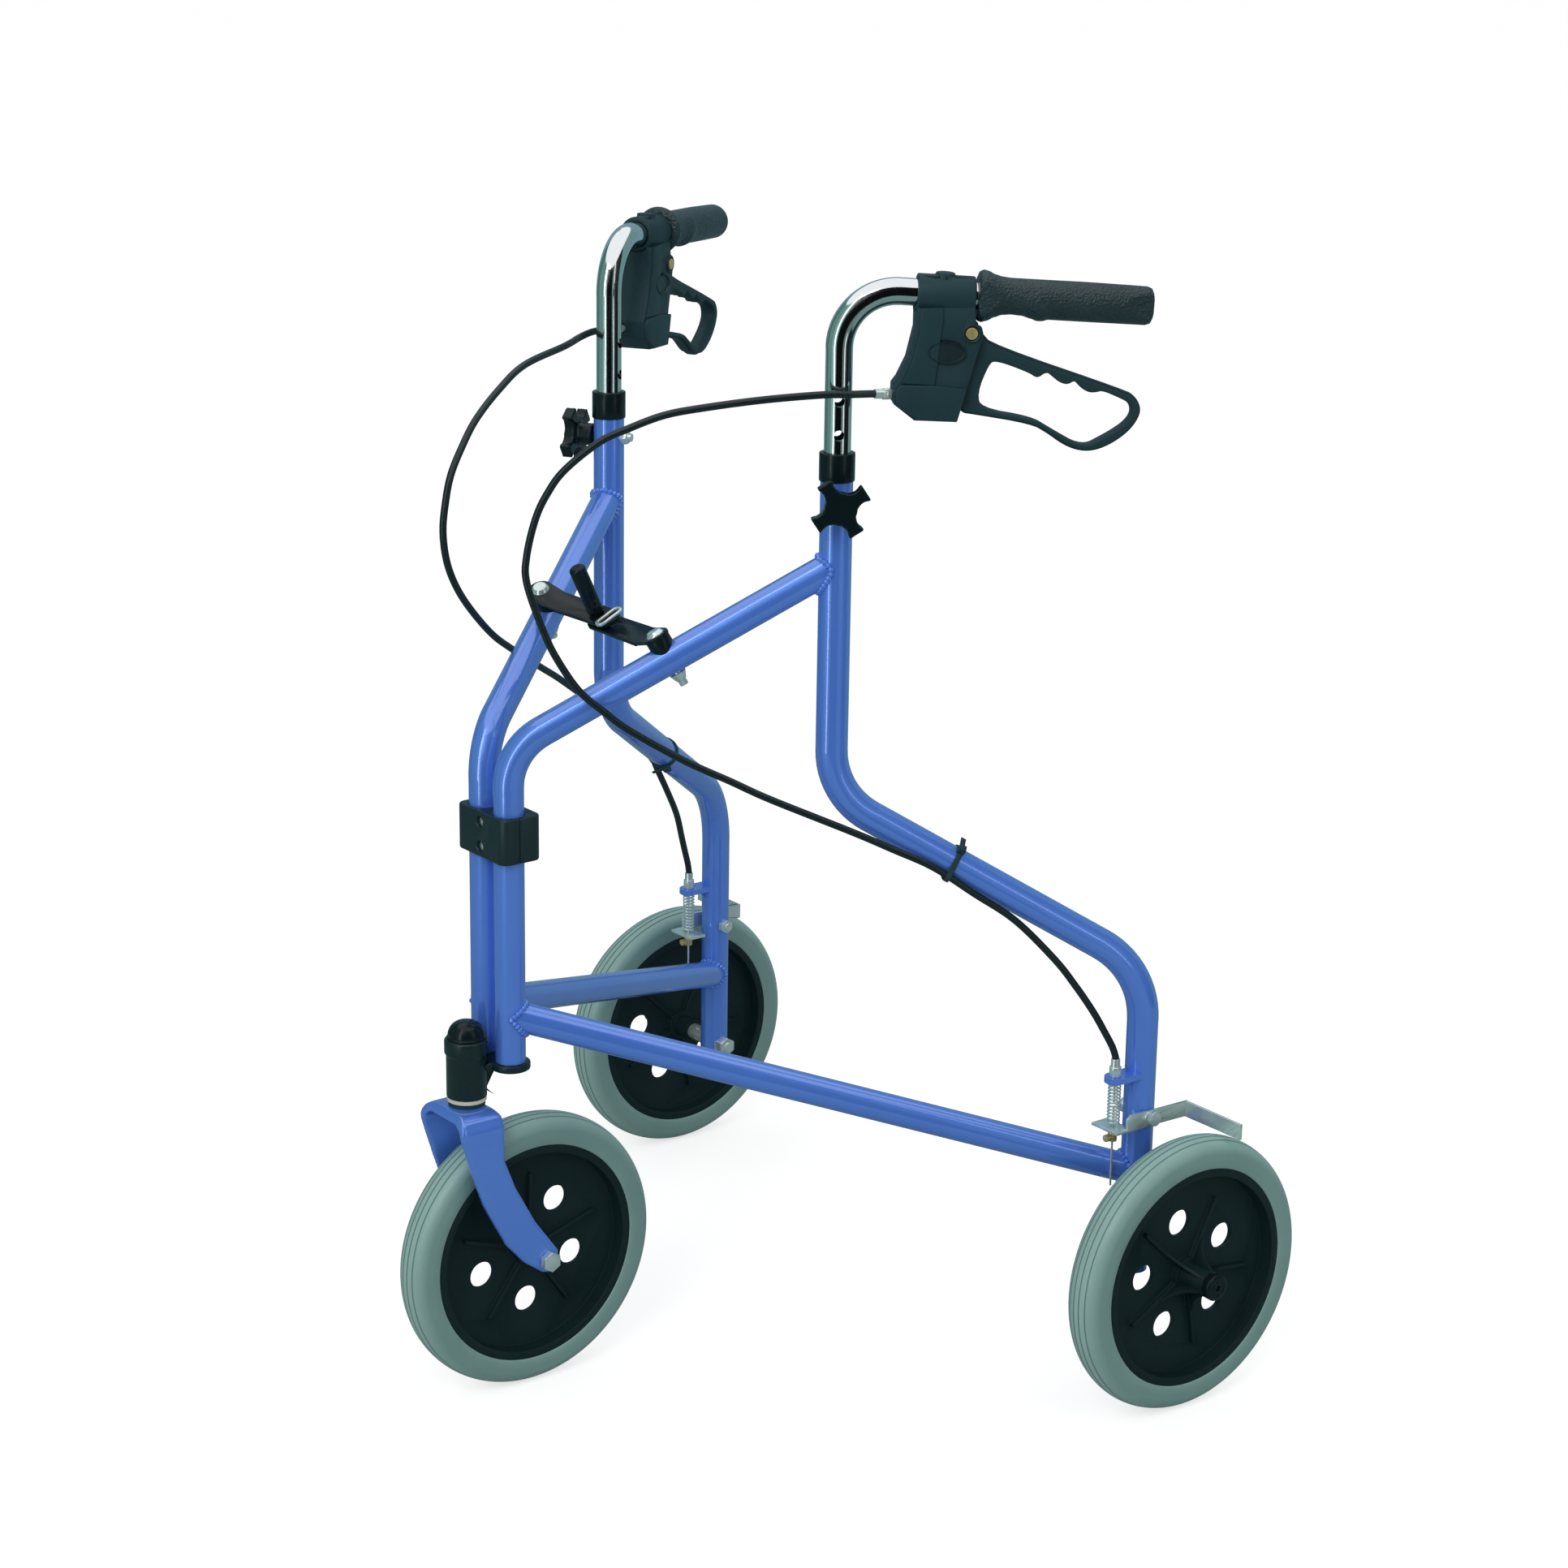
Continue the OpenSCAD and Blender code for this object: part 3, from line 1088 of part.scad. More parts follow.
// Spacer on the tube, with the bolt through tube and link, its head and its nut
module brace_post(lift) {
    top = brace_seat + lift + link_t;
    nut_low = -front_tube_r - 6;
    color(black_plastic) difference() {
        stand(brace_foot, bolt_dir, [1, 0, 0]) ring(brace_seat + lift - seat_gap, spacer_d / 2, brace_bolt_d / 2 + seat_gap);
        brace_tube_core();
    }
    color(zinc_grey) {
        stand(brace_foot, bolt_dir, [1, 0, 0]) {
            translate([0, 0, nut_low - 4]) cylinder(h = top - nut_low + 4.5, r = brace_bolt_d / 2);
            translate([0, 0, top + seat_gap]) cylinder(h = 3, r1 = 6.5, r2 = 4.5, $fn = 48);
            translate([0, 0, nut_low]) cylinder(h = 5.5, r1 = 3.6, r2 = 6, $fn = 48);
        }
    }
}

// The stretch of the sloping tube under the brace's bolt, with its seat gap
module brace_tube_core() {
    left_frame() translate([0, 0, front_corner_z]) rotate([0, 90 - tube_slope, 0])
        translate([0, 0, brace_s / cos(tube_slope) - 20]) cylinder(h = 40, r = front_tube_r + seat_gap);
}

module brace_post_left() brace_post(0);
module brace_post_right() right_side() brace_post(link_step);

hinge_block_front();
hinge_block_rear();
hinge_block_screws();
head_bracket();
head_sleeve();
head_cap();
head_washer();
head_bushes();
fork();
fork_stem();
front_axle();
front_tyre();
front_hub();
front_bushes();
front_tube_left();
front_tube_right();
rear_tube_left();
rear_tube_right();
lower_tube_left();
lower_tube_right();
frame_fasteners_left();
frame_fasteners_right();
collar_left();
collar_right();
clamp_knob_left();
clamp_knob_right();
handle_tube_left();
handle_tube_right();
grip_left();
grip_right();
brake_housing_left();
brake_housing_right();
cable_adjuster_left();
cable_adjuster_right();
lever_pivot_left();
lever_pivot_right();
brake_lever_left();
brake_lever_right();
brake_cable_left();
brake_cable_right();
cable_stop_left();
cable_stop_right();
brake_spring_left();
brake_spring_right();
arm_bolt_left();
arm_bolt_right();
brake_arm_left();
brake_arm_right();
tyre_left();
tyre_right();
hub_left();
hub_right();
bushes_left();
bushes_right();
brace_post_left();
brace_post_right();
brace_link_left();
brace_link_right();
brace_handle();
brace_clip();
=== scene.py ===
import math
import bmesh
import bpy
from mathutils import Matrix, Vector


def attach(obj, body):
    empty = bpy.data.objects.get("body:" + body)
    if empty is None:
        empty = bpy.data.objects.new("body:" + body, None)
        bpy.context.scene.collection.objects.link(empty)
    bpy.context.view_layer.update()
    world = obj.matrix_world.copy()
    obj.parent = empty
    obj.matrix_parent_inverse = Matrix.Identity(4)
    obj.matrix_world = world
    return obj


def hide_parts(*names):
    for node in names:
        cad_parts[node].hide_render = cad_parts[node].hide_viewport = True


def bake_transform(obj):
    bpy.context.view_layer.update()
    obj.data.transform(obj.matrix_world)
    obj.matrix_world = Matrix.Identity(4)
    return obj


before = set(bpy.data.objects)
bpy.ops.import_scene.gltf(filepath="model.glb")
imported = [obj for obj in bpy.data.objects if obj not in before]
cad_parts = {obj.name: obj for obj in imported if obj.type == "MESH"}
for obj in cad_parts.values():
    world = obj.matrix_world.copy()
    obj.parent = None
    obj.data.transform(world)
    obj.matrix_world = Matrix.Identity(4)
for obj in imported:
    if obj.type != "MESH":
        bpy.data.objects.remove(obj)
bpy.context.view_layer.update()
print("frame loaded")

mm = 0.001
sides = {"left": 1, "right": -1}

# ---- camera, floor and light

view = {"place": (1.9185, -1.4342, 1.1314), "lens": 80.708,
        "right": (0.6082, 0.7936, 0.0147), "up": (-0.2369, 0.1638, 0.9576), "back": (0.7576, -0.586, 0.2876)}


def setCamera():
    data = bpy.data.cameras.new("studioCamera")
    data.lens = view["lens"]
    data.sensor_width = 36
    camera = bpy.data.objects.new("studioCamera", data)
    turn = Matrix((view["right"], view["up"], view["back"])).transposed().to_4x4()
    camera.matrix_world = Matrix.Translation(view["place"]) @ turn
    bpy.context.scene.collection.objects.link(camera)
    bpy.context.scene.camera = camera
    bpy.context.scene.view_settings.view_transform = "Standard"


setCamera()


# ---- shader sums as plain expressions

class Signal:
    def __init__(self, graph, socket):
        self.graph = graph
        self.socket = socket

    def sum(self, operation, first, second=None):
        return self.graph.sum(operation, first, second)

    def __add__(self, other):
        return self.sum("ADD", self, other)

    def __sub__(self, other):
        return self.sum("SUBTRACT", self, other)

    def __rsub__(self, other):
        return self.sum("SUBTRACT", other, self)

    def __mul__(self, other):
        return self.sum("MULTIPLY", self, other)

    def __truediv__(self, other):
        return self.sum("DIVIDE", self, other)

    def __pow__(self, other):
        return self.sum("POWER", self, other)

    def above(self, level):
        return self.sum("GREATER_THAN", self, level)

    def largest(self, other):
        return self.sum("MAXIMUM", self, other)

    def wave(self):
        return self.sum("SINE", self)

    __radd__ = __add__
    __rmul__ = __mul__


class Graph:
    def __init__(self, owner):
        owner.use_nodes = True
        self.tree = owner.node_tree
        self.tree.nodes.clear()

    # Settings come first, because a node's sockets depend on them
    def add(self, kind, settings=None, inputs=None, output=0):
        node = self.tree.nodes.new("ShaderNode" + kind)
        for name, value in (settings or {}).items():
            if name == "stops":
                ramp = node.color_ramp.elements
                for index, (place, tone) in enumerate(value):
                    stop = ramp[index] if index < 2 else ramp.new(place)
                    stop.position = place
                    stop.color = (tone, tone, tone, 1) if isinstance(tone, float) else (*tone, 1)
            else:
                setattr(node, name, value)
        for name, value in (inputs or {}).items():
            slot = node.inputs[name]
            if isinstance(value, Signal):
                self.tree.links.new(value.socket, slot)
            else:
                slot.default_value = (*value, 1) if slot.type == "RGBA" and len(value) == 3 else value
        return Signal(self, node.outputs[output]) if len(node.outputs) else node

    def sum(self, operation, first, second=None):
        inputs = {0: first} if second is None else {0: first, 1: second}
        return self.add("Math", {"operation": operation}, inputs)

    def blendColour(self, amount, low, high):
        return self.add("Mix", {"data_type": "RGBA"}, {0: amount, 6: low, 7: high}, 2)

    def place(self, stretch=(1, 1, 1)):
        spot = self.add("TexCoord", None, None, 3)
        return self.add("Mapping", None, {"Vector": spot, "Scale": stretch})

    def grain(self, scale, detail=2.0, rough=0.5, stretch=(1, 1, 1)):
        return self.add("TexNoise", None, {"Vector": self.place(stretch), "Scale": scale, "Detail": detail,
                                           "Roughness": rough})

    def cells(self, scale, feature="F1", stretch=(1, 1, 1)):
        return self.add("TexVoronoi", {"feature": feature}, {"Vector": self.place(stretch), "Scale": scale})

    def dent(self, height, depth, strength=1.0, base=None):
        inputs = {"Height": height, "Distance": depth, "Strength": strength}
        if base is not None:
            inputs["Normal"] = base
        return self.add("Bump", None, inputs)

    def surface(self, inputs):
        shader = self.add("BsdfPrincipled", None, inputs)
        self.add("OutputMaterial", None, {"Surface": shader})


def finish(name):
    material = bpy.data.materials.new(name)
    return material, Graph(material)


paint = {"light": (0.125, 0.32, 0.98), "deep": (0.085, 0.23, 0.86), "gloss": 0.22, "coatIndex": 1.9, "flake": 0.28}


def bluePaint():
    material, g = finish("bluePaint")
    cloud = g.grain(9.0, 3.0)
    peel = g.grain(420.0, 1.0)
    dust = g.grain(1600.0, 1.0)
    g.surface({"Base Color": g.blendColour(cloud, paint["deep"], paint["light"]),
               "Roughness": paint["gloss"] + cloud * 0.08, "Coat Weight": 0.75 + dust * 0.2, "Coat Roughness": 0.05,
               "Metallic": paint["flake"], "Coat IOR": paint["coatIndex"], "Specular IOR Level": 0.4, "Normal": g.dent(peel, 0.00012, 0.35)})
    return material


def darkPlastic(name, tone, rough, pebble, size, level=0.3):
    material, g = finish(name)
    cloud = g.grain(14.0, 4.0)
    fine = g.grain(size, 2.0)
    scuff = g.grain(160.0, 3.0, 0.6, (1, 1, 0.12))
    pale = tuple(c * 1.7 + 0.002 for c in tone)
    g.surface({"Base Color": g.blendColour(cloud * 0.7 + scuff * 0.3, tone, pale),
               "Roughness": rough + fine * 0.12 + cloud * 0.06, "Specular IOR Level": level,
               "Normal": g.dent(fine, pebble, 0.6)})
    return material


def gripRubber():
    material, g = finish("gripRubber")
    bead = g.cells(540.0)
    crease = g.grain(700.0, 3.0)
    cloud = g.grain(30.0, 3.0)
    relief = bead * 0.7 + crease * 0.5
    g.surface({"Base Color": g.blendColour(cloud, (0.008, 0.026, 0.032), (0.02, 0.05, 0.058)),
               "Roughness": 0.26 + crease * 0.16, "Specular IOR Level": 0.5, "Normal": g.dent(relief, 0.0011, 0.9)})
    return material


def chrome():
    material, g = finish("chrome")
    streak = g.grain(60.0, 2.0, 0.5, (6, 6, 0.4))
    mist = g.grain(18.0, 3.0)
    g.surface({"Base Color": g.blendColour(mist, (0.78, 0.81, 0.83), (0.88, 0.90, 0.91)), "Metallic": 1.0,
               "Roughness": 0.075 + streak * 0.05, "Normal": g.dent(streak, 0.00002, 0.2)})
    return material


def plainMetal(name, low, high, rough, metal):
    material, g = finish(name)
    mist = g.grain(70.0, 4.0, 0.6)
    fine = g.grain(1200.0, 2.0)
    g.surface({"Base Color": g.blendColour(mist, low, high), "Metallic": metal, "Roughness": rough + mist * 0.16,
               "Normal": g.dent(fine, 0.00006, 0.4)})
    return material


def tyreRubber():
    material, g = finish("tyreRubber")
    cloud = g.grain(22.0, 4.0, 0.6)
    fine = g.grain(700.0, 2.0)
    # Painted shade: the sidewalls face along the axle and get a darker copy of the tread colour, standing in for the
    # less light they catch
    facing = g.sum("ABSOLUTE", g.add("SeparateXYZ", None, {0: g.add("TexCoord", None, None, 1)}))
    tread = g.blendColour(cloud, (0.31, 0.51, 0.47), (0.39, 0.61, 0.57))
    paintedShadeWall = g.blendColour(cloud, (0.16, 0.30, 0.28), (0.22, 0.38, 0.36))
    g.surface({"Base Color": g.blendColour(facing ** 1.6, tread, paintedShadeWall), "Roughness": 0.34 + cloud * 0.12,
               "Specular IOR Level": 0.5, "Normal": g.dent(fine + cloud * 2.0, 0.00025, 0.5)})
    return material


def palePlastic():
    material, g = finish("whitePlastic")
    cloud = g.grain(60.0, 3.0)
    g.surface({"Base Color": g.blendColour(cloud, (0.62, 0.58, 0.47), (0.76, 0.73, 0.63)),
               "Roughness": 0.42 + cloud * 0.1, "Normal": g.dent(g.grain(900.0), 0.00008, 0.4)})
    return material


looks = {"blue_paint": bluePaint(), "chrome": chrome(), "grip_rubber": gripRubber(), "tyre": tyreRubber(),
         "black_paint": darkPlastic("blackPaint", (0.004, 0.016, 0.018), 0.2, 0.00015, 500.0, 0.4),
         "black_plastic": darkPlastic("blackPlastic", (0.008, 0.034, 0.042), 0.4, 0.00012, 1500.0, 0.26),
         "gloss_black": darkPlastic("glossBlack", (0.002, 0.008, 0.010), 0.13, 0.00006, 600.0, 0.3),
         "satin_black": darkPlastic("satinBlack", (0.005, 0.020, 0.024), 0.3, 0.00012, 900.0, 0.4),
         "hub_plastic": darkPlastic("hubPlastic", (0.004, 0.016, 0.018), 0.36, 0.0003, 700.0, 0.2),
         "cable_jacket": darkPlastic("cableJacket", (0.004, 0.012, 0.014), 0.18, 0.00006, 900.0, 0.5),
         "zinc": plainMetal("zinc", (0.66, 0.83, 0.81), (0.90, 0.98, 0.97), 0.11, 0.68),
         "brass": plainMetal("brass", (0.62, 0.50, 0.20), (0.82, 0.70, 0.34), 0.16, 0.6),
         "white_plastic": palePlastic()}
print("finishes made")


# ---- floor, light and sky

studio = {"floorTone": 0.62, "floorLift": 0.67, "sky": 0.52, "keyPower": 34, "fillPower": 10}


def setStudio():
    material, g = finish("studioFloor")
    camera = g.add("LightPath", None, None, 0)
    lift = g.add("Emission", None, {"Color": (1.0, 1.0, 1.0), "Strength": camera * studio["floorLift"]})
    tone = studio["floorTone"]
    dust = g.blendColour(g.grain(3.0), (tone, tone, tone), (tone * 1.02, tone * 1.02, tone * 1.02))
    base = g.add("BsdfDiffuse", None, {"Color": dust})
    g.add("OutputMaterial", None, {"Surface": g.add("AddShader", None, {0: base, 1: lift})})
    reach = 14
    floor = rawPiece("studioFloor", [(-reach, -reach, 0), (reach, -reach, 0), (reach, reach, 0), (-reach, reach, 0)],
                     [(0, 1, 2, 3)], material)
    world = bpy.data.worlds.new("studioSky")
    bpy.context.scene.world = world
    g = Graph(world)
    seen = g.add("LightPath", None, None, 0).largest(g.add("LightPath", None, None, 3))
    seen = seen.largest(g.add("LightPath", None, None, 6))
    sky = g.add("Background", None, {"Color": (1.0, 1.0, 1.0), "Strength": seen * (1 - studio["sky"]) + studio["sky"]})
    g.add("OutputWorld", None, {"Surface": sky})
    lamp("keyLamp", (1.6, -2.6, 2.6), 1.6, studio["keyPower"])
    lamp("fillLamp", (2.6, 1.6, 1.6), 1.8, studio["fillPower"])


def lamp(name, place, size, power):
    data = bpy.data.lights.new(name, "AREA")
    data.shape = "SQUARE"
    data.size = size
    data.energy = power
    obj = bpy.data.objects.new(name, data)
    aim = Vector((0, 0, 0.45)) - Vector(place)
    obj.matrix_world = Matrix.Translation(place) @ aim.to_track_quat("-Z", "Y").to_matrix().to_4x4()
    bpy.context.scene.collection.objects.link(obj)


# A ring of boards and a mat that only polished surfaces see, for the bands in chrome and paint. Each has its
# turn from the camera's side, in degrees, and its tone
boards = {"away": 1.5, "high": 2.0, "step": 6, "mat": (0.22, 0.34, 0.33),
          "strips": {"stripLeft": (-40, -33, 0.05, 2.3, 3.2), "stripRight": (44, 48, 0.3, 2.0, 1.6)},
          "ring": {"boardBehindLeft": (-180, -135, (0.3, 0.5, 0.6)), "boardSideLeft": (-135, -100, (0.12, 0.27, 0.25)),
                   "boardLeft": (-100, -60, (0.24, 0.48, 0.42)), "boardNearLeft": (-60, -22, (0.46, 0.78, 0.75)),
                   "boardCamera": (-22, 28, (0.004, 0.006, 0.007)), "boardNearRight": (28, 58, (0.26, 0.37, 0.35)),
                   "boardRight": (58, 95, (0.010, 0.015, 0.016)), "boardSideRight": (95, 140, (0.26, 0.48, 0.46)),
                   "boardBehindRight": (140, 180, (0.3, 0.5, 0.6))}}


def addBoard(name, points, faces, tone):
    material, g = finish(name)
    if isinstance(tone, tuple):
        g.surface({"Base Color": (*tone, 1), "Roughness": 0.9, "Specular IOR Level": 0.1})
    else:
        g.add("OutputMaterial", None, {"Surface": g.add("Emission", None, {"Color": (1, 1, 1), "Strength": tone})})
    board = rawPiece(name, points, faces, material)
    board.visible_camera = False
    board.visible_diffuse = False
    board.visible_shadow = False
    board.visible_transmission = False


def setBoards():
    facing = math.atan2(view["back"][1], view["back"][0])
    away = boards["away"]
    for name, (start, end, tone) in boards["ring"].items():
        count = max(1, round((end - start) / boards["step"]))
        points = []
        for i in range(count + 1):
            angle = facing + math.radians(start + (end - start) * i / count)
            points += [(away * math.cos(angle), away * math.sin(angle), z) for z in (0.01, boards["high"])]
        addBoard(name, points, [(2 * i, 2 * i + 2, 2 * i + 3, 2 * i + 1) for i in range(count)], tone)
    for name, (start, end, low, high, power) in boards["strips"].items():
        points = []
        for turn in (start, end):
            angle = facing + math.radians(turn)
            points += [((away - 0.05) * math.cos(angle), (away - 0.05) * math.sin(angle), z) for z in (low, high)]
        addBoard(name, points, [(0, 2, 3, 1)], power)
    addBoard("boardMat", [(-away, -away, 0.004), (away, -away, 0.004), (away, away, 0.004), (-away, away, 0.004)],
             [(0, 1, 2, 3)], boards["mat"])


# ---- making pieces

def rawPiece(name, points, faces, material):
    mesh = bpy.data.meshes.new(name)
    mesh.from_pydata([tuple(p) for p in points], [], faces)
    mesh.update()
    obj = bpy.data.objects.new(name, mesh)
    bpy.context.scene.collection.objects.link(obj)
    mesh.materials.append(material)
    return obj


def smooth(obj, angle=40):
    mesh = obj.data
    mesh.polygons.foreach_set("use_smooth", [True] * len(mesh.polygons))
    mesh.set_sharp_from_angle(angle=math.radians(angle))


def applyAll(obj):
    bpy.context.view_layer.update()
    done = bpy.data.meshes.new_from_object(obj.evaluated_get(bpy.context.evaluated_depsgraph_get()))
    obj.modifiers.clear()
    obj.data = done


def fit(obj, body, replaced=(), angle=40):
    smooth(obj, angle)
    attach(obj, body)
    if replaced:
        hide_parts(*replaced)
    return obj


# Facing outwards, whichever way the points were listed
def closeUp(obj):
    bm = bmesh.new()
    bm.from_mesh(obj.data)
    bmesh.ops.recalc_face_normals(bm, faces=bm.faces)
    bm.to_mesh(obj.data)
    bm.free()
    return obj


def weldClose(obj, gap=0.00001):
    bm = bmesh.new()
    bm.from_mesh(obj.data)
    bmesh.ops.remove_doubles(bm, verts=bm.verts, dist=gap)
    bmesh.ops.recalc_face_normals(bm, faces=bm.faces)
    bm.to_mesh(obj.data)
    bm.free()
    return obj


def nodeCopy(node, name, slot):
    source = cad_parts[node]
    mesh = source.data.copy()
    mesh.materials.clear()
    mesh.materials.append(looks[slot])
    obj = bpy.data.objects.new(name, mesh)
    bpy.context.scene.collection.objects.link(obj)
    bm = bmesh.new()
    bm.from_mesh(mesh)
    bmesh.ops.remove_doubles(bm, verts=bm.verts, dist=2e-6)
    bmesh.ops.dissolve_limit(bm, angle_limit=math.radians(0.8), verts=bm.verts, edges=bm.edges)
    for face in bm.faces:
        face.material_index = 0
    bm.to_mesh(mesh)
    bm.free()
    return obj


def ease(obj, edge, steps=2, angle=30):
    bevel = obj.modifiers.new("ease", "BEVEL")
    bevel.width = edge * mm
    bevel.segments = steps
    bevel.limit_method = "ANGLE"
    bevel.angle_limit = math.radians(angle)
    bevel.use_clamp_overlap = False
    bevel.miter_outer = "MITER_ARC"
    applyAll(obj)


# A node's own shape with its sharp edges rounded off
def eased(node, body, slot, edge, look=None):
    obj = nodeCopy(node, node + "_eased", look or slot)
    ease(obj, edge)
    return fit(obj, body, (node,), 35)


# One piece for each solid of a node, the largest box first
def easedParts(node, body, slots, edge):
    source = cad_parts[node]
    bm = bmesh.new()
    bm.from_mesh(source.data)
    bmesh.ops.remove_doubles(bm, verts=bm.verts, dist=2e-6)
    bm.verts.ensure_lookup_table()
    left = set(range(len(bm.verts)))
    groups = []
    while left:
        queue = [min(left)]
        group = set(queue)
        while queue:
            for link in bm.verts[queue.pop()].link_edges:
                for vert in link.verts:
                    if vert.index not in group:
                        group.add(vert.index)
                        queue.append(vert.index)
        left -= group
        spread = [[bm.verts[i].co[axis] for i in group] for axis in range(3)]
        groups.append((sum((max(s) - min(s)) ** 2 for s in spread), sorted(group)))
    groups.sort(key=lambda entry: -entry[0])
    for number, ((spread, group), slot) in enumerate(zip(groups, slots)):
        places = {old: new for new, old in enumerate(group)}
        faces = [[places[v.index] for v in face.verts] for face in bm.faces if face.verts[0].index in places]
        look = "gloss_black" if slot.startswith("black") else slot
        obj = rawPiece(node + "_part" + str(number), [bm.verts[i].co for i in group], faces, looks[look])
        ease(obj, edge)
        fit(obj, body, (node,), 35)
    bm.free()


# A node's own shape, melted together and worn round as a casting or moulding is
def moulded(node, body, slot, cell, passes, look=None):
    obj = nodeCopy(node, node + "_moulded", look or slot)
    grid = obj.modifiers.new("grid", "REMESH")
    grid.mode = "VOXEL"
    grid.voxel_size = cell * mm
    melt = obj.modifiers.new("melt", "SMOOTH")
    melt.factor = 0.5
    melt.iterations = passes
    applyAll(obj)
    return fit(obj, body, (node,), 60)


def ringFrames(points, first, closed=False):
    count = len(points)
    frames = []
    normal = Vector(first)
    for i in range(count):
        ahead = points[(i + 1) % count] if closed else points[min(i + 1, count - 1)]
        behind = points[i - 1] if closed or i else points[0]
        along = (Vector(ahead) - Vector(behind)).normalized()
        normal = (normal - normal.dot(along) * along).normalized()
        frames.append((normal.copy(), along.cross(normal)))
    return frames


# A round tube through points; a number or one radius for each point
def tube(points, radius, around=20, first=(0, 0, 1), closed=False):
    count = len(points)
    radii = [radius] * count if isinstance(radius, (int, float)) else radius
    verts = []
    for (n, b), p, r in zip(ringFrames(points, first, closed), points, radii):
        for j in range(around):
            a = 2 * math.pi * j / around
            verts.append(Vector(p) + r * (math.cos(a) * n + math.sin(a) * b))
    faces = []
    for i in range(count if closed else count - 1):
        for j in range(around):
            k = (j + 1) % around
            a, b = i * around, (i + 1) % count * around
            faces.append((a + j, a + k, b + k, b + j))
    if not closed:
        faces.append(tuple(range(around))[::-1])
        faces.append(tuple(range((count - 1) * around, count * around)))
    return verts, faces


# Turns a profile of (along, radius) pairs round an axis
def turned(profile, origin, axis, around=96, closed=False):
    axis = Vector(axis).normalized()
    side = axis.orthogonal().normalized()
    other = axis.cross(side)
    verts = []
    for along, radius in profile:
        for j in range(around):
            a = 2 * math.pi * j / around
            verts.append(Vector(origin) + axis * along + radius * (math.cos(a) * side + math.sin(a) * other))
    faces = []
    count = len(profile)
    for i in range(count if closed else count - 1):
        for j in range(around):
            k = (j + 1) % around
            a, b = i * around, (i + 1) % count * around
            faces.append((a + j, b + j, b + k, a + k))
    return verts, faces


def joined(parts):
    verts, faces = [], []
    for partVerts, partFaces in parts:
        base = len(verts)
        verts += partVerts
        faces += [tuple(base + i for i in face) for face in partFaces]
    return verts, faces


def curvePoint(a, b, c, d, t):
    return 0.5 * ((2 * b) + (c - a) * t + (2 * a - 5 * b + 4 * c - d) * t * t + (3 * b - a - 3 * c + d) * t * t * t)


def smoothRoute(points, step):
    route = []
    last = len(points) - 1
    for i in range(last):
        a, b, c, d = (points[max(i - 1, 0)], points[i], points[i + 1], points[min(i + 2, last)])
        count = max(1, round((c - b).length / step))
        route += [curvePoint(a, b, c, d, k / count) for k in range(count)]
    return route + [points[last]]


# ---- places on the side frames and handles, in millimetres along, outwards and up

layout = {"angle": 32.4, "pivotX": 15.2, "pivotY": -196.4, "uprightS": 218, "legS": 440, "handleZ": 783.6,
          "drop": 3.3, "tubeR": 10.5, "rearR": 11, "wheelX": 302.4, "legY": 175.1, "axleZ": 100}
frameSin = math.sin(math.radians(layout["angle"]))
frameCos = math.cos(math.radians(layout["angle"]))
dropSin = math.sin(math.radians(layout["drop"]))
dropCos = math.cos(math.radians(layout["drop"]))
pivotY = -(21.3 + 440 * frameCos) / 2
legX = layout["pivotX"] + 440 * frameSin
legY = pivotY + 440 * frameCos


def onFrame(side, s, out, z):
    return Vector((side * (layout["pivotX"] + s * frameSin + out * frameCos), pivotY + s * frameCos - out * frameSin,
                   z)) * mm


def onHandle(side, u, out, w):
    return onFrame(side, layout["uprightS"] + u * dropCos + w * dropSin, out,
                   layout["handleZ"] - u * dropSin + w * dropCos)


setStudio()
setBoards()
print("studio set")

# ---- wheels

tyre = {"radius": 100, "rim": 80.1, "half": 15, "crown": 10, "grooves": (-7.5, -2.5, 2.5, 7.5), "grooveDepth": 0.8,
        "grooveHalf": 0.45, "around": 180}


def tyreProfile():
    half = tyre["half"]
    shoulder = tyre["radius"] - tyre["crown"]
    marks = [-half * math.cos(math.radians(i * 3)) for i in range(61)]
    for g in tyre["grooves"]:
        marks = [m for m in marks if abs(m - g) > tyre["grooveHalf"] * 1.7]
        marks += [g - tyre["grooveHalf"] * 1.5, g - tyre["grooveHalf"], g, g + tyre["grooveHalf"],
                  g + tyre["grooveHalf"] * 1.5]
    profile = [(-half + 1, tyre["rim"]), (-half + 0.45, tyre["rim"] + 0.5), (-half + 0.3, shoulder - 6.5),
               (-half - 0.02, shoulder - 5.6), (-half, shoulder - 3)]
    for m in sorted(marks):
        r = shoulder + tyre["crown"] * math.sqrt(max(0, 1 - (m / half) ** 2))
        if any(abs(m - g) < tyre["grooveHalf"] * 1.1 for g in tyre["grooves"]):
            r -= tyre["grooveDepth"]
        profile.append((m, r))
    profile += [(half, shoulder - 3), (half + 0.02, shoulder - 5.6), (half - 0.3, shoulder - 6.5),
                (half - 0.45, tyre["rim"] + 0.5), (half - 1, tyre["rim"])]
    return [(m * mm, r * mm) for m, r in profile]


def makeWheels():
    frontAxle = Vector((0, (pivotY + 21.3) * mm, 0.1))
    wheels = {"front": (frontAxle, "front_tyre", "front_hub", "front_wheel")}
    for name, side in sides.items():
        centre = Vector((side * (legX + 51.4) * mm, legY * mm, 0.1))
        wheels[name] = (centre, "tyre_" + name, "hub_" + name, name + "_wheel")
    for name, (centre, tyreNode, hubNode, body) in wheels.items():
        verts, faces = turned(tyreProfile(), centre, (1, 0, 0), tyre["around"], True)
        obj = closeUp(rawPiece("tyre_band_" + name, verts, faces, looks["tyre"]))
        fit(obj, body, (tyreNode,), 50)
        eased(hubNode, body, "hub_plastic", 0.6)
        if name in sides:
            makeHubCap(name, body, centre)


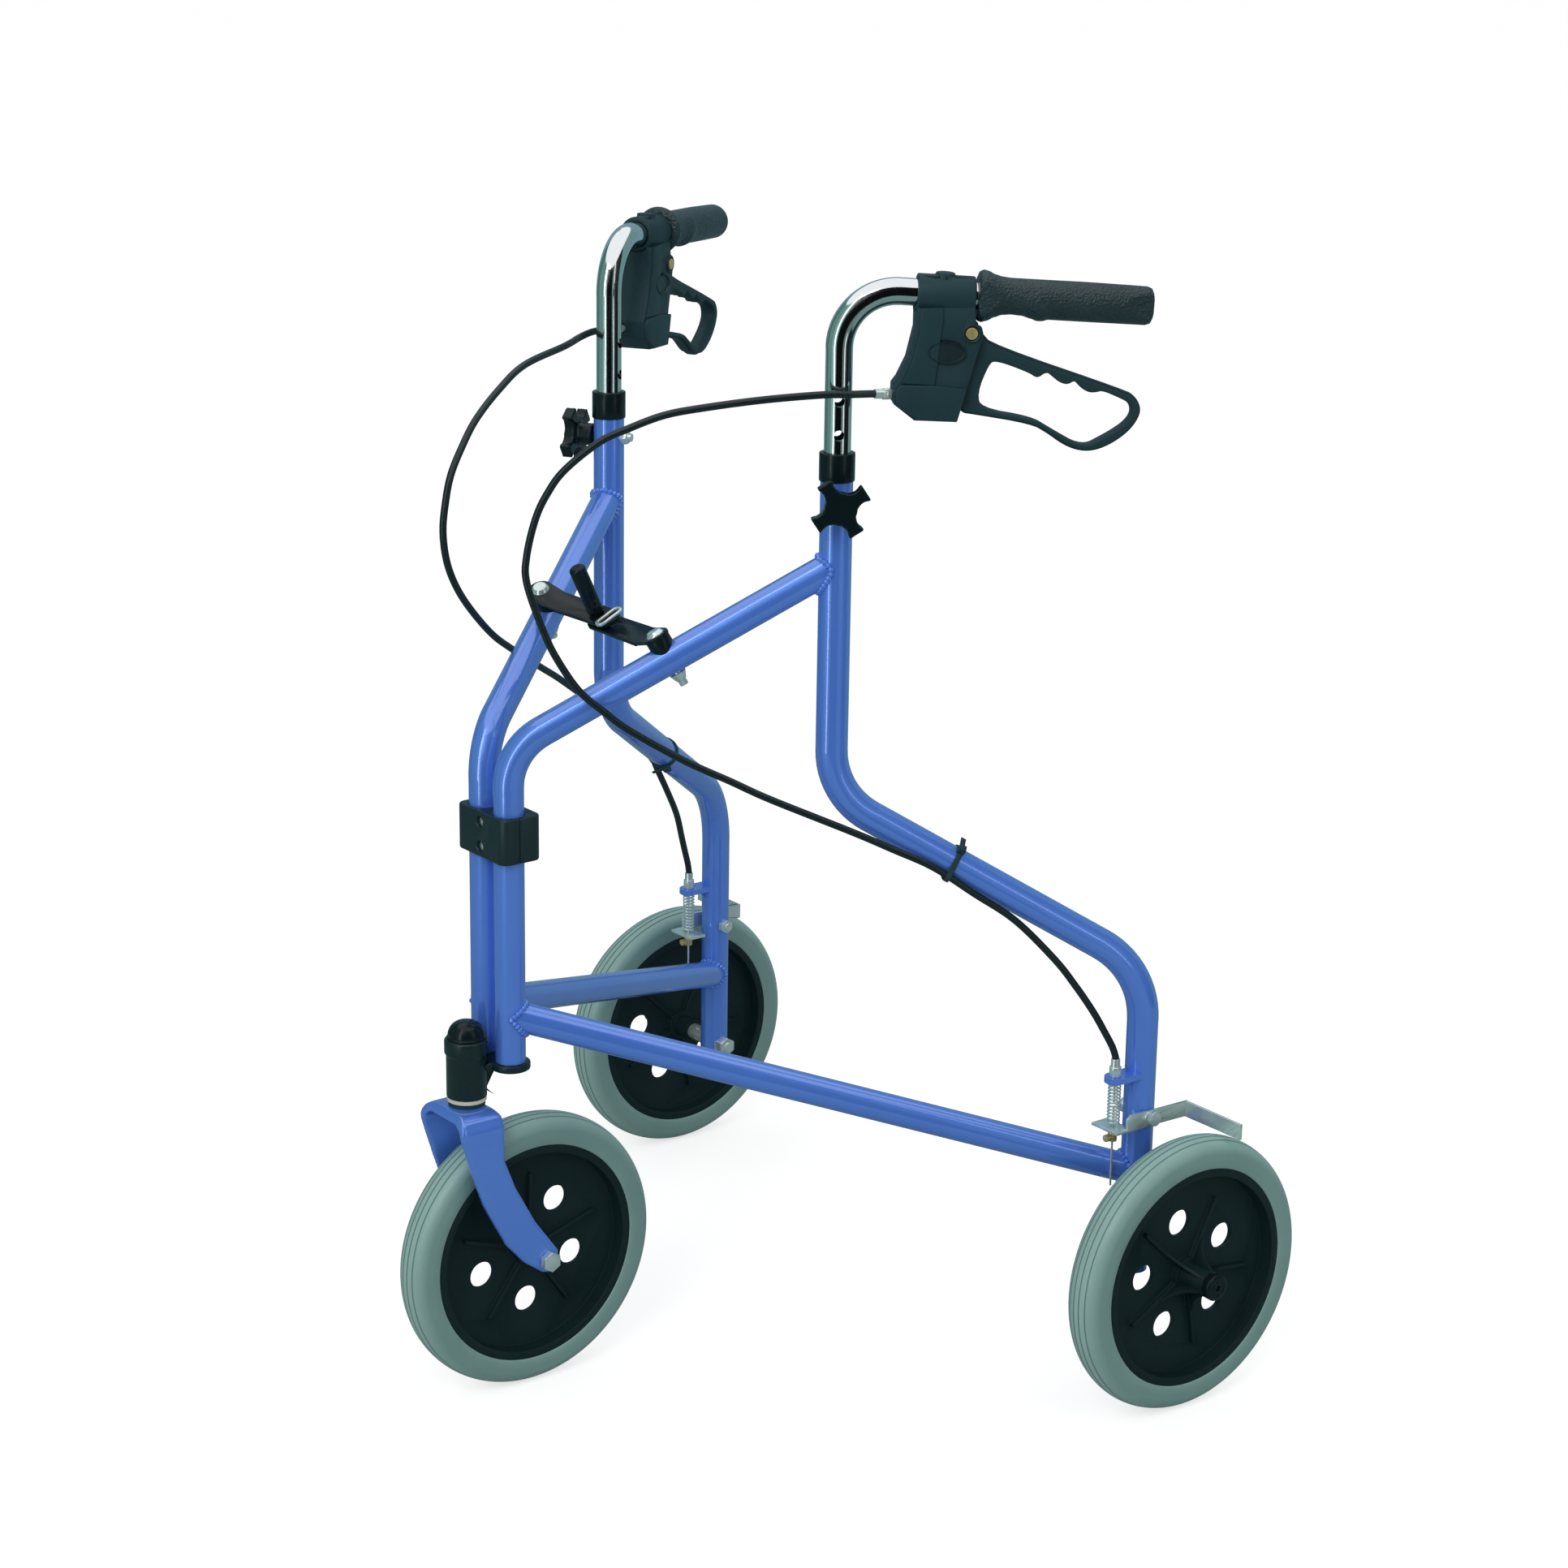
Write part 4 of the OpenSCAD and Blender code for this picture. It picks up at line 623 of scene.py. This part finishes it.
# Round cap over the axle bolt's head and five fins from the boss out to the ribs
hubCap = {"face": 33, "radius": 9.6, "hole": 2.2, "finHigh": 27, "finLow": 8, "finOut": 30, "finT": 2.4, "firstRib": 136,
          "profile": [(-4, 9.05), (-4, 9.5), (1.2, 9.6), (2.2, 9.1), (2.7, 8.2), (2.7, 6.4), (2.2, 5.9), (2.2, 4.6),
                      (2.8, 3.9), (2.8, 2.2), (1.4, 1.9), (1.4, 0)]}


def makeHubCap(name, body, centre):
    side = sides[name]
    verts, faces = turned([((hubCap["face"] + x) * side * mm, r * mm) for x, r in hubCap["profile"]], centre, (1, 0, 0), 56)
    obj = weldClose(rawPiece("hub_cap_" + name, verts, faces, looks["gloss_black"]))
    fit(obj, body, (), 35)
    parts = []
    for i in range(5):
        a = math.radians(hubCap["firstRib"] + 72 * i)
        out = Vector((0, math.cos(a), math.sin(a)))
        across = Vector((0, -math.sin(a), math.cos(a))) * (hubCap["finT"] / 2)
        shape = [(8.2, hubCap["finLow"] - 3), (8.2, hubCap["finHigh"]), (11, hubCap["finHigh"] - 4), (15, 15),
                 (20, 10.5), (hubCap["finOut"], hubCap["finLow"] - 1.4), (hubCap["finOut"], hubCap["finLow"] - 3)]
        corners = [centre + (out * r + Vector((side * x, 0, 0)) + across * sign) * mm for sign in (-1, 1)
                   for r, x in shape]
        n = len(shape)
        parts.append((corners, [tuple(range(n)), tuple(range(2 * n - 1, n - 1, -1))]
                      + [(j, (j + 1) % n, n + (j + 1) % n, n + j) for j in range(n)]))
    verts, faces = joined(parts)
    obj = closeUp(rawPiece("hub_fins_" + name, verts, faces, looks["hub_plastic"]))
    ease(obj, 0.5)
    fit(obj, body, (), 35)


makeWheels()
print("wheels made")

# ---- plain nodes that keep their shape and get their finish

kept = {"blue_paint": ["front_tube", "rear_tube", "lower_tube"], "chrome": ["handle_tube"],
        "white_plastic": ["bushes"]}
keptOnce = {"black_plastic": ["head_bushes"], "zinc": ["fork_stem"], "white_plastic": ["head_washer", "front_bushes"]}


def dress(node, slot):
    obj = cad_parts[node]
    for index in range(len(obj.material_slots)):
        obj.material_slots[index].link = "OBJECT"
        obj.material_slots[index].material = looks[slot]


for slot, names in kept.items():
    for name in names:
        for side in sides:
            dress(name + "_" + side, slot)
for slot, names in keptOnce.items():
    for name in names:
        dress(name, slot)
print("plain nodes dressed")

# ---- eased castings and mouldings

easedPairs = {"frame_fasteners": ("frame", "zinc", 0.35), "cable_stop": ("frame", "zinc", 0.3),
              "arm_bolt": ("arm_bolt", "zinc", 0.35), "collar": ("frame", "black_plastic", 0.5),
              "cable_adjuster": ("handle", "zinc", 0.3), "lever_pivot": ("lever_pivot", "brass", 0.25)}
easedOnce = {"hinge_block_front": ("steering_head", "black_plastic", 1.2),
             "hinge_block_rear": ("steering_head", "black_plastic", 1.2),
             "hinge_block_screws": ("steering_head", "zinc", 0.25), "head_bracket": ("steering_head", "black_paint", 0.9),
             "head_sleeve": ("steering_head", "black_paint", 0.4), "front_axle": ("steering_fork", "zinc", 0.4),
             "brace_handle": ("right_link", "black_plastic", 0.6), "brace_clip": ("right_link", "chrome", 0.6),
             "brace_link_right": ("right_link", "black_paint", 0.4)}
# Black pieces with more gloss than the housings
otherLook = {"collar": "gloss_black", "hinge_block_front": "satin_black", "hinge_block_rear": "satin_black",
             "brace_handle": "gloss_black", "brace_link_right": "gloss_black", "brace_clip": "zinc"}


def makeEased():
    for node, (body, slot, edge) in easedPairs.items():
        for side in sides:
            eased(node + "_" + side, side + "_" + body, slot, edge, otherLook.get(node))
    for node, (body, slot, edge) in easedOnce.items():
        eased(node, body, slot, edge, otherLook.get(node))
    easedParts("brace_link_left", "left_link", ("black_paint", "zinc"), 0.4)
    for side in sides:
        easedParts("brake_arm_" + side, side + "_brake_arm", ("zinc", "zinc", "brass"), 0.3)
        easedParts("brace_post_" + side, side + "_frame", ("zinc", "black_plastic"), 0.3)
    moulded("fork", "steering_fork", "blue_paint", 1.1, 14)
    for side in sides:
        moulded("clamp_knob_" + side, side + "_knob", "black_plastic", 0.7, 6, "gloss_black")


makeEased()
print("castings and mouldings eased")

# ---- cap on the steering sleeve

cap = {"base": 268.1, "radius": 13, "rim": 13.5, "rimHigh": 1.5, "high": 12.5, "forward": 26.3, "steps": 20}


def makeCap():
    profile = [(-3.9, 0), (-3.9, 9.6), (0, 9.6), (0, cap["radius"] - 0.4), (0.15, cap["rim"] - 0.15),
               (0.5, cap["rim"]), (cap["rimHigh"] - 0.4, cap["rim"]), (cap["rimHigh"], cap["rim"] - 0.25),
               (cap["rimHigh"] + 0.25, cap["radius"] - 0.15)]
    for i in range(1, cap["steps"] + 1):
        a = math.pi / 2 * i / cap["steps"]
        profile.append((cap["rimHigh"] + 0.25 + (cap["high"] - cap["rimHigh"] - 0.25) * math.sin(a) ** 1.05,
                        (cap["radius"] - 0.15) * max(0.0, math.cos(a)) ** 0.72))
    place = Vector((0, (pivotY - cap["forward"]) * mm, cap["base"] * mm))
    verts, faces = turned([(z * mm, r * mm) for z, r in profile], place, (0, 0, 1), 72)
    obj = weldClose(rawPiece("head_cap_dome", verts, faces, looks["gloss_black"]))
    fit(obj, "steering_head", ("head_cap",), 32)


makeCap()
print("cap made")


# ---- grips

grip = {"start": 90, "end": 206, "around": 72, "cutFrom": 186, "cutDepth": 4.2,
        "top": [(0, 13.4), (1.2, 16.2), (3.5, 17.2), (6.5, 16.6), (11, 14.6), (16, 13.4), (22, 12.9), (40, 12.9),
                (70, 13.1), (100, 12.8), (112, 12.6), (115, 11.6), (116, 9.8)],
        "low": [(0, 14), (1.2, 16.4), (3.5, 17), (7, 16), (12, 13.4), (17, 11.6), (23, 11), (30, 11.4), (36, 12.9),
                (40.5, 14.3), (43.5, 14.2), (48, 13), (70, 13), (112, 12.8), (115, 11.8), (116, 9.8)]}


def along(table, x):
    for (x0, y0), (x1, y1) in zip(table, table[1:]):
        if x <= x1:
            t = (x - x0) / (x1 - x0)
            t = t * t * (3 - 2 * t) * 0.6 + t * 0.4
            return y0 + (y1 - y0) * t
    return table[-1][1]


def makeGrip(name, side):
    rings = [i * 0.5 for i in range(8)] + [4 + i for i in range(108)] + [112 + i * 0.5 for i in range(9)]
    around = grip["around"]
    verts, faces = [], []
    for x in rings:
        top, low = along(grip["top"], x), along(grip["low"], x)
        u = grip["start"] + x
        for j in range(around):
            a = 2 * math.pi * j / around
            share = (1 + math.cos(a)) / 2
            r = top * share + low * (1 - share)
            out, w = r * math.sin(a), r * math.cos(a)
            # The flat thumb rest on the outer side of the rear end
            limit = 13.1 - grip["cutDepth"] * max(0, (u + w * 0.45 - grip["cutFrom"]) / 20)
            out = min(out, limit)
            verts.append(onHandle(side, u, out, w))
    count = len(rings)
    for i in range(count - 1):
        for j in range(around):
            k = (j + 1) % around
            faces.append((i * around + j, (i + 1) * around + j, (i + 1) * around + k, i * around + k))
    for ring, x, inner in ((0, grip["start"], 9.15), (count - 1, grip["end"], 0)):
        base = len(verts)
        steps = (0.72, 0.4) if inner == 0 else (0.9,)
        last = ring * around
        for share in steps:
            for j in range(around):
                verts.append(onHandle(side, x + (0.25 if inner == 0 else 0), 0, 0).lerp(verts[ring * around + j], share))
            for j in range(around):
                k = (j + 1) % around
                faces.append((last + j, base + j, base + k, last + k))
            last = base
            base += around
        faces.append(tuple(range(last, last + around)))
    obj = closeUp(rawPiece("grip_sleeve_" + name, verts, faces, looks["grip_rubber"]))
    fit(obj, name + "_handle", ("grip_" + name,), 46)


for name, side in sides.items():
    makeGrip(name, side)
print("grips made")

# ---- levers and housings

lever = {"pinU": 86.8, "pinW": -23.1, "body": 6, "flange": 2.6, "step": 1.5, "round": 0.7,
         "outline": [(-4.3, 4.3), (0, 6), (4.3, 4.3), (9, -1.5), (16.4, -8.4), (108, -33.7), (114, -37), (118, -43),
                     (118.4, -49), (114, -58), (106, -66), (96, -72.4), (87, -75.3), (78, -75), (68, -71.5),
                     (57, -64.5), (46, -59.2), (5.3, -54.7), (0, -54.5), (-4, -50), (-4.5, -28), (-6, -1)],
         "loop": [(18.2, -17.7), (42, -25), (47, -28.3), (52.8, -23.3), (58, -27), (63, -30.5), (68, -31), (72, -28),
                  (77, -33), (82, -35.6), (87, -35.2), (91, -33.8), (103, -38.1), (110, -41), (113, -47.8),
                  (109, -55), (100, -62), (92, -67), (85.5, -71), (77, -70.3), (68, -66), (59.1, -61.6),
                  (46.8, -55.1), (12.2, -51.2), (8.1, -40.2), (14, -21.1)]}


# Each pass cuts every corner off a quarter of the way along its sides
def softOutline(points, passes):
    for _ in range(passes):
        cut = []
        for i, (x0, y0) in enumerate(points):
            x1, y1 = points[(i + 1) % len(points)]
            cut += [(x0 * 0.75 + x1 * 0.25, y0 * 0.75 + y1 * 0.25), (x0 * 0.25 + x1 * 0.75, y0 * 0.25 + y1 * 0.75)]
        points = cut
    return points


def insetOutline(points, step):
    area = sum(x0 * y1 - x1 * y0 for (x0, y0), (x1, y1) in zip(points, points[1:] + points[:1]))
    turn = 1 if area > 0 else -1
    inset = []
    for i, (x, y) in enumerate(points):
        x0, y0 = points[i - 1]
        x1, y1 = points[(i + 1) % len(points)]
        along = Vector((x1 - x0, y1 - y0)).normalized()
        inset.append((x - turn * along.y * step, y + turn * along.x * step))
    return inset


# A flat plate with round edges, drawn as filled outlines and laid into the handle's own axes
def handlePlate(side, outlines, half, edge, u0, w0, middle=0):
    data = bpy.data.curves.new("plateOutline", "CURVE")
    data.dimensions = "2D"
    data.fill_mode = "BOTH"
    data.extrude = half - edge
    data.bevel_depth = edge
    data.bevel_resolution = 2
    data.offset = -edge
    for outline in outlines:
        spline = data.splines.new("POLY")
        spline.points.add(len(outline) - 1)
        for point, (x, y) in zip(spline.points, outline):
            point.co = (x, y, 0, 1)
        spline.use_cyclic_u = True
    obj = bpy.data.objects.new("plateOutline", data)
    bpy.context.scene.collection.objects.link(obj)
    bpy.context.view_layer.update()
    mesh = bpy.data.meshes.new_from_object(obj.evaluated_get(bpy.context.evaluated_depsgraph_get()))
    verts = [onHandle(side, u0 + v.co.x, middle + v.co.z, w0 + v.co.y) for v in mesh.vertices]
    faces = [tuple(p.vertices) for p in mesh.polygons]
    bpy.data.objects.remove(obj)
    bpy.data.curves.remove(data)
    bpy.data.meshes.remove(mesh)
    return verts, faces


def makeLever(name, side):
    outer = softOutline(lever["outline"], 2)
    loop = softOutline(lever["loop"], 2)
    body = handlePlate(side, [insetOutline(outer, lever["step"]), loop], lever["body"], lever["round"], lever["pinU"],
                       lever["pinW"])
    flange = handlePlate(side, [outer, insetOutline(loop, 0.3)], lever["flange"], 0.5, lever["pinU"], lever["pinW"])
    verts, faces = joined([body, flange])
    obj = weldClose(rawPiece("brake_lever_form_" + name, verts, faces, looks["black_plastic"]))
    fit(obj, name + "_lever", ("brake_lever_" + name,), 38)


# Raised panel, cable box and bare oval on both faces of a housing
relief = {"face": 12, "panelHigh": 1.8, "boxHigh": 3.0, "oval": (21.4, -36.6, 12.6, 7.2), "ovalHigh": 2.3, "ring": 4.6,
          "panel": [(1.8, -8.8), (16.5, -7.5), (17.3, -15), (16.4, -29.3), (15.9, -46.1), (15.2, -58.5), (-6.6, -58.5),
                    (-1, -43.6), (2.4, -23)],
          "box": [(-6.4, -59.2), (15.6, -58.3), (36.4, -59.4), (33.8, -73), (31.6, -81.4), (5, -81.8), (-8.4, -73.8),
                  (-9.6, -72), (-10, -63), (-8.4, -60)]}


def ovalPlate(side, face):
    u, w, long, high = relief["oval"]
    rings = [(1.0, -1.0), (1.0, 0.5), (0.97, 1.0), (0.93, 1.0), (0.89, 0.62), (0.84, 0.42), (0.5, 0.42)]
    around = 48
    verts, faces = [], []
    for share, lift in rings:
        for j in range(around):
            a = 2 * math.pi * j / around
            verts.append(onHandle(side, 50 + u + long * share * math.cos(a),
                                  face * (relief["face"] + relief["ovalHigh"] * lift), w + high * share * math.sin(a)))
    for i in range(len(rings) - 1):
        for j in range(around):
            k = (j + 1) % around
            faces.append((i * around + j, i * around + k, (i + 1) * around + k, (i + 1) * around + j))
    faces += [tuple(range(around)), tuple(range((len(rings) - 1) * around, len(rings) * around))]
    return verts, faces


def pinRing(side, face):
    axis = onHandle(side, 0, 1, 0) - onHandle(side, 0, 0, 0)
    origin = onHandle(side, lever["pinU"], face * relief["face"], lever["pinW"])
    r = relief["ring"]
    profile = [(-0.5, r), (0.7, r), (1.2, r + 0.5), (1.4, r + 1), (1.1, r + 1.6), (0.4, r + 1.9), (-0.5, r + 1.9)]
    return turned([(x * face * mm, y * mm) for x, y in profile], origin, axis, 40, True)


def makeRelief(name, side):
    raised, inlaid = [], []
    for face in (1, -1):
        for key, edge in (("panel", 0.7), ("box", 1.1)):
            high = relief[key + "High"]
            raised.append(handlePlate(side, [relief[key]], high / 2 + 0.6, edge, 50, 0,
                                      face * (relief["face"] + high / 2 - 0.6)))
        inlaid += [ovalPlate(side, face), pinRing(side, face)]
    for kind, parts, look in (("relief", raised, "black_plastic"), ("inlay", inlaid, "satin_black")):
        verts, faces = joined(parts)
        obj = weldClose(rawPiece("housing_" + kind + "_" + name, verts, faces, looks[look]))
        fit(obj, name + "_handle", (), 35)


for name, side in sides.items():
    makeLever(name, side)
    eased("brake_housing_" + name, name + "_handle", "black_plastic", 0.9)
    makeRelief(name, side)
print("levers and housings made")

# ---- brake cables and springs

cable = {"radius": 2.5, "step": 4, "around": 20, "entryU": 52, "entryW": -66.8, "yaw": 20, "tip": 27,
         "stopZ": 249.2, "bendLow": 0.50, "bendHigh": 0.695,
         "left": [(222, 716, 15), (206, 716, 16), (168, 713, 17), (130, 708, 17), (103, 703, 17), (79, 694, 17),
                  (60, 685, 17), (38, 667, 17), (27, 652, 17), (19, 635, 17), (13, 610, 17), (13, 591, 17),
                  (24, 558, 17), (33, 539, 17), (47, 518, 17), (64, 503, 17), (81, 490, 17), (118, 468, 15),
                  (149, 453, 14), (176, 440, 14), (232, 416, 13), (260, 403, 12), (288, 390, 12.5),
                  (317, 370, 10.5), (346, 350, 10), (374, 322, 12), (389, 303, 14), (402, 284, 15)],
         "right": [(222, 716, 14.5), (206, 714.5, 17), (185, 711, 20), (129, 706, 26), (95, 694, 30), (62, 679, 32),
                   (39, 664, 32), (21, 648, 32), (12, 630, 32), (8, 612, 32), (13, 591, 32), (25, 571, 31),
                   (46, 550, 30), (73, 527, 27), (98, 511, 24), (139, 488, 20), (165, 474, 18), (196, 456, 16),
                   (230, 436, 15), (269, 414, 15), (300, 395, 14.5), (331, 375, 14), (344, 357, 12.5),
                   (361, 335, 11), (383, 309, 11.5), (401, 284, 14)]}
stopX = legX + 1.5
stopY = legY - 25.5
stopS = (stopX - layout["pivotX"]) * frameSin + (stopY - pivotY) * frameCos
stopOut = (stopX - layout["pivotX"]) * frameCos - (stopY - pivotY) * frameSin


def cableRoute(name, side):
    yaw = math.radians(cable["yaw"])
    points = [onHandle(side, cable["entryU"] - d * math.cos(yaw), d * math.sin(yaw), cable["entryW"])
              for d in (cable["tip"] + 0.1, cable["tip"] + 5)]
    points += [onFrame(side, s, out, z) for s, z, out in cable[name]]
    points += [onFrame(side, stopS - back, stopOut, cable["stopZ"] + rise)
               for back, rise in ((8.8, 20), (2.8, 8.7), (0.6, 2.5), (0, 0.1))]
    return smoothRoute(points, cable["step"] * mm)


def makeCable(name, side):
    verts, faces = tube(cableRoute(name, side), cable["radius"] * mm, cable["around"], (side, 0, 0.2))
    obj = closeUp(rawPiece("brake_cable_run_" + name, verts, faces, looks["cable_jacket"]))
    smooth(obj, 50)
    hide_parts("brake_cable_" + name)
    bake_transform(obj)


spring = {"turns": 12, "wire": 0.6, "radius": 4.2, "low": 200.5, "high": 230.7, "steps": 24}


def makeSpring(name, side):
    count = spring["turns"] * spring["steps"]
    points = [Vector((spring["radius"], 0, spring["low"] - 1.2))]
    for i in range(count + 1):
        a = 2 * math.pi * i / spring["steps"]
        z = spring["low"] + (spring["high"] - spring["low"]) * i / count
        points.append(Vector((spring["radius"] * math.cos(a), spring["radius"] * math.sin(a), z)))
    points.append(Vector((spring["radius"], 0, spring["high"] + 1.2)))
    place = [Vector((side * (stopX + p.x), stopY + p.y, p.z)) * mm for p in points]
    verts, faces = tube(place, spring["wire"] * mm, 10, (side, 0, 0.01))
    obj = closeUp(rawPiece("brake_spring_coil_" + name, verts, faces, looks["zinc"]))
    smooth(obj, 60)
    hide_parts("brake_spring_" + name)
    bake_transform(obj)


for name, side in sides.items():
    makeCable(name, side)
    makeSpring(name, side)
print("cables and springs made")

# ---- weld beads on the frames

weld = {"radius": 1.9, "ripple": 0.55, "pitch": 3.1, "around": 10, "samples": 220}
welds = [{"post": 218, "postR": 11, "through": (218, 599), "slope": 30.14, "toward": -1},
         {"post": 0, "postR": 10.5, "through": (0, 284), "slope": -15.92, "toward": 1},
         {"post": 440, "postR": 11, "through": (440, 158.5), "slope": -15.92, "toward": -1}]


def beadPoints(side, seam):
    slope = math.radians(seam["slope"])
    ds, dz = math.cos(slope), math.sin(slope)
    r = layout["tubeR"]
    points = []
    for i in range(weld["samples"]):
        a = 2 * math.pi * i / weld["samples"]
        reach = math.sqrt(max(0.0, seam["postR"] ** 2 - (r * math.sin(a)) ** 2))
        t = (seam["post"] + seam["toward"] * (reach + 0.5) - seam["through"][0] + r * math.cos(a) * dz) / ds
        points.append(onFrame(side, seam["through"][0] + t * ds - r * math.cos(a) * dz,
                              (r + 0.3) * math.sin(a), seam["through"][1] + t * dz + r * math.cos(a) * ds))
    return points


def makeWelds(name, side):
    parts = []
    for seam in welds:
        points = beadPoints(side, seam)
        length = 0
        radii = []
        for i, p in enumerate(points):
            length += (p - points[i - 1]).length / mm if i else 0
            radii.append((weld["radius"] + weld["ripple"] * math.sin(length * 2 * math.pi / weld["pitch"])) * mm)
        parts.append(tube(points, radii, weld["around"], (0, 0, 1), True))
    verts, faces = joined(parts)
    obj = closeUp(rawPiece("weld_beads_" + name, verts, faces, looks["blue_paint"]))
    fit(obj, name + "_frame", (), 60)


# ---- cable ties: a flat band round tube and cable, with its lock and its cut tail

tie = {"width": 3.8, "thick": 1.1, "left": 302, "right": 325, "tail": 9, "lock": (5.5, 4.6, 4.2), "turn": {"left": 28, "right": 205}}


def makeTie(name, side):
    s = tie[name]
    fall = math.atan2(129, 222)
    axis = Vector((math.cos(fall), 0, -math.sin(fall)))
    rise = Vector((math.sin(fall), 0, math.cos(fall)))
    middle = Vector((s, 0, 439 - (s - 218) * 129 / 222))
    route = cable[name]
    for (s0, z0, o0), (s1, z1, o1) in zip(route, route[1:]):
        if s0 <= s <= s1:
            t = (s - s0) / (s1 - s0)
            offset = Vector((0, o0 + (o1 - o0) * t, z0 + (z1 - z0) * t - middle.z))
    across = (offset.y, offset.dot(rise))

    def at(out, up, forward):
        p = middle + rise * up + axis * forward
        return onFrame(side, p.x, out, p.z)

    verts, faces = [], []
    count = 96
    for i in range(count):
        a = 2 * math.pi * i / count
        d = Vector((math.cos(a), math.sin(a)))
        rows = [(Vector((0, 0)), layout["rearR"]), (Vector(across), cable["radius"])]
        middleOf, r = max(rows, key=lambda row: row[0].dot(d) + row[1])
        for grow, forward in ((0.06, -1), (tie["thick"], -1), (tie["thick"], 1), (0.06, 1)):
            p = middleOf + d * (r + grow)
            verts.append(at(p.x, p.y, forward * tie["width"] / 2))
    for i in range(count):
        a, b = i * 4, (i + 1) % count * 4
        for j in range(4):
            k = (j + 1) % 4
            faces.append((a + j, b + j, b + k, a + k))
    # Lock and tail on the upper side of the tube
    long, high, wide = tie["lock"]
    base = layout["rearR"] + 0.2
    parts = [(verts, faces)]
    for x0, x1, y0, y1, half in ((-long / 2, long / 2, base, base + high, wide / 2 + 0.5),
                                 (-long / 2 - tie["tail"], -long / 2 + 1, base + 1.4, base + 2.5, tie["width"] / 2)):
        turn = math.radians(tie["turn"][name])
        corners = []
        for x, y in ((x0, y0), (x1, y0), (x1, y1), (x0, y1)):
            for f in (-half, half):
                corners.append(at(x * math.cos(turn) + y * math.sin(turn), -x * math.sin(turn) + y * math.cos(turn), f))
        parts.append((corners, [(0, 2, 3, 1), (2, 4, 5, 3), (4, 6, 7, 5), (6, 0, 1, 7), (0, 6, 4, 2), (1, 3, 5, 7)]))
    verts, faces = joined(parts)
    obj = closeUp(rawPiece("cable_tie_" + name, verts, faces, looks["black_plastic"]))
    bevel = obj.modifiers.new("ease", "BEVEL")
    bevel.width = 0.25 * mm
    bevel.segments = 2
    bevel.limit_method = "ANGLE"
    bevel.angle_limit = math.radians(40)
    applyAll(obj)
    fit(obj, name + "_frame", (), 35)


for name, side in sides.items():
    makeWelds(name, side)
    makeTie(name, side)
print("welds and ties made")
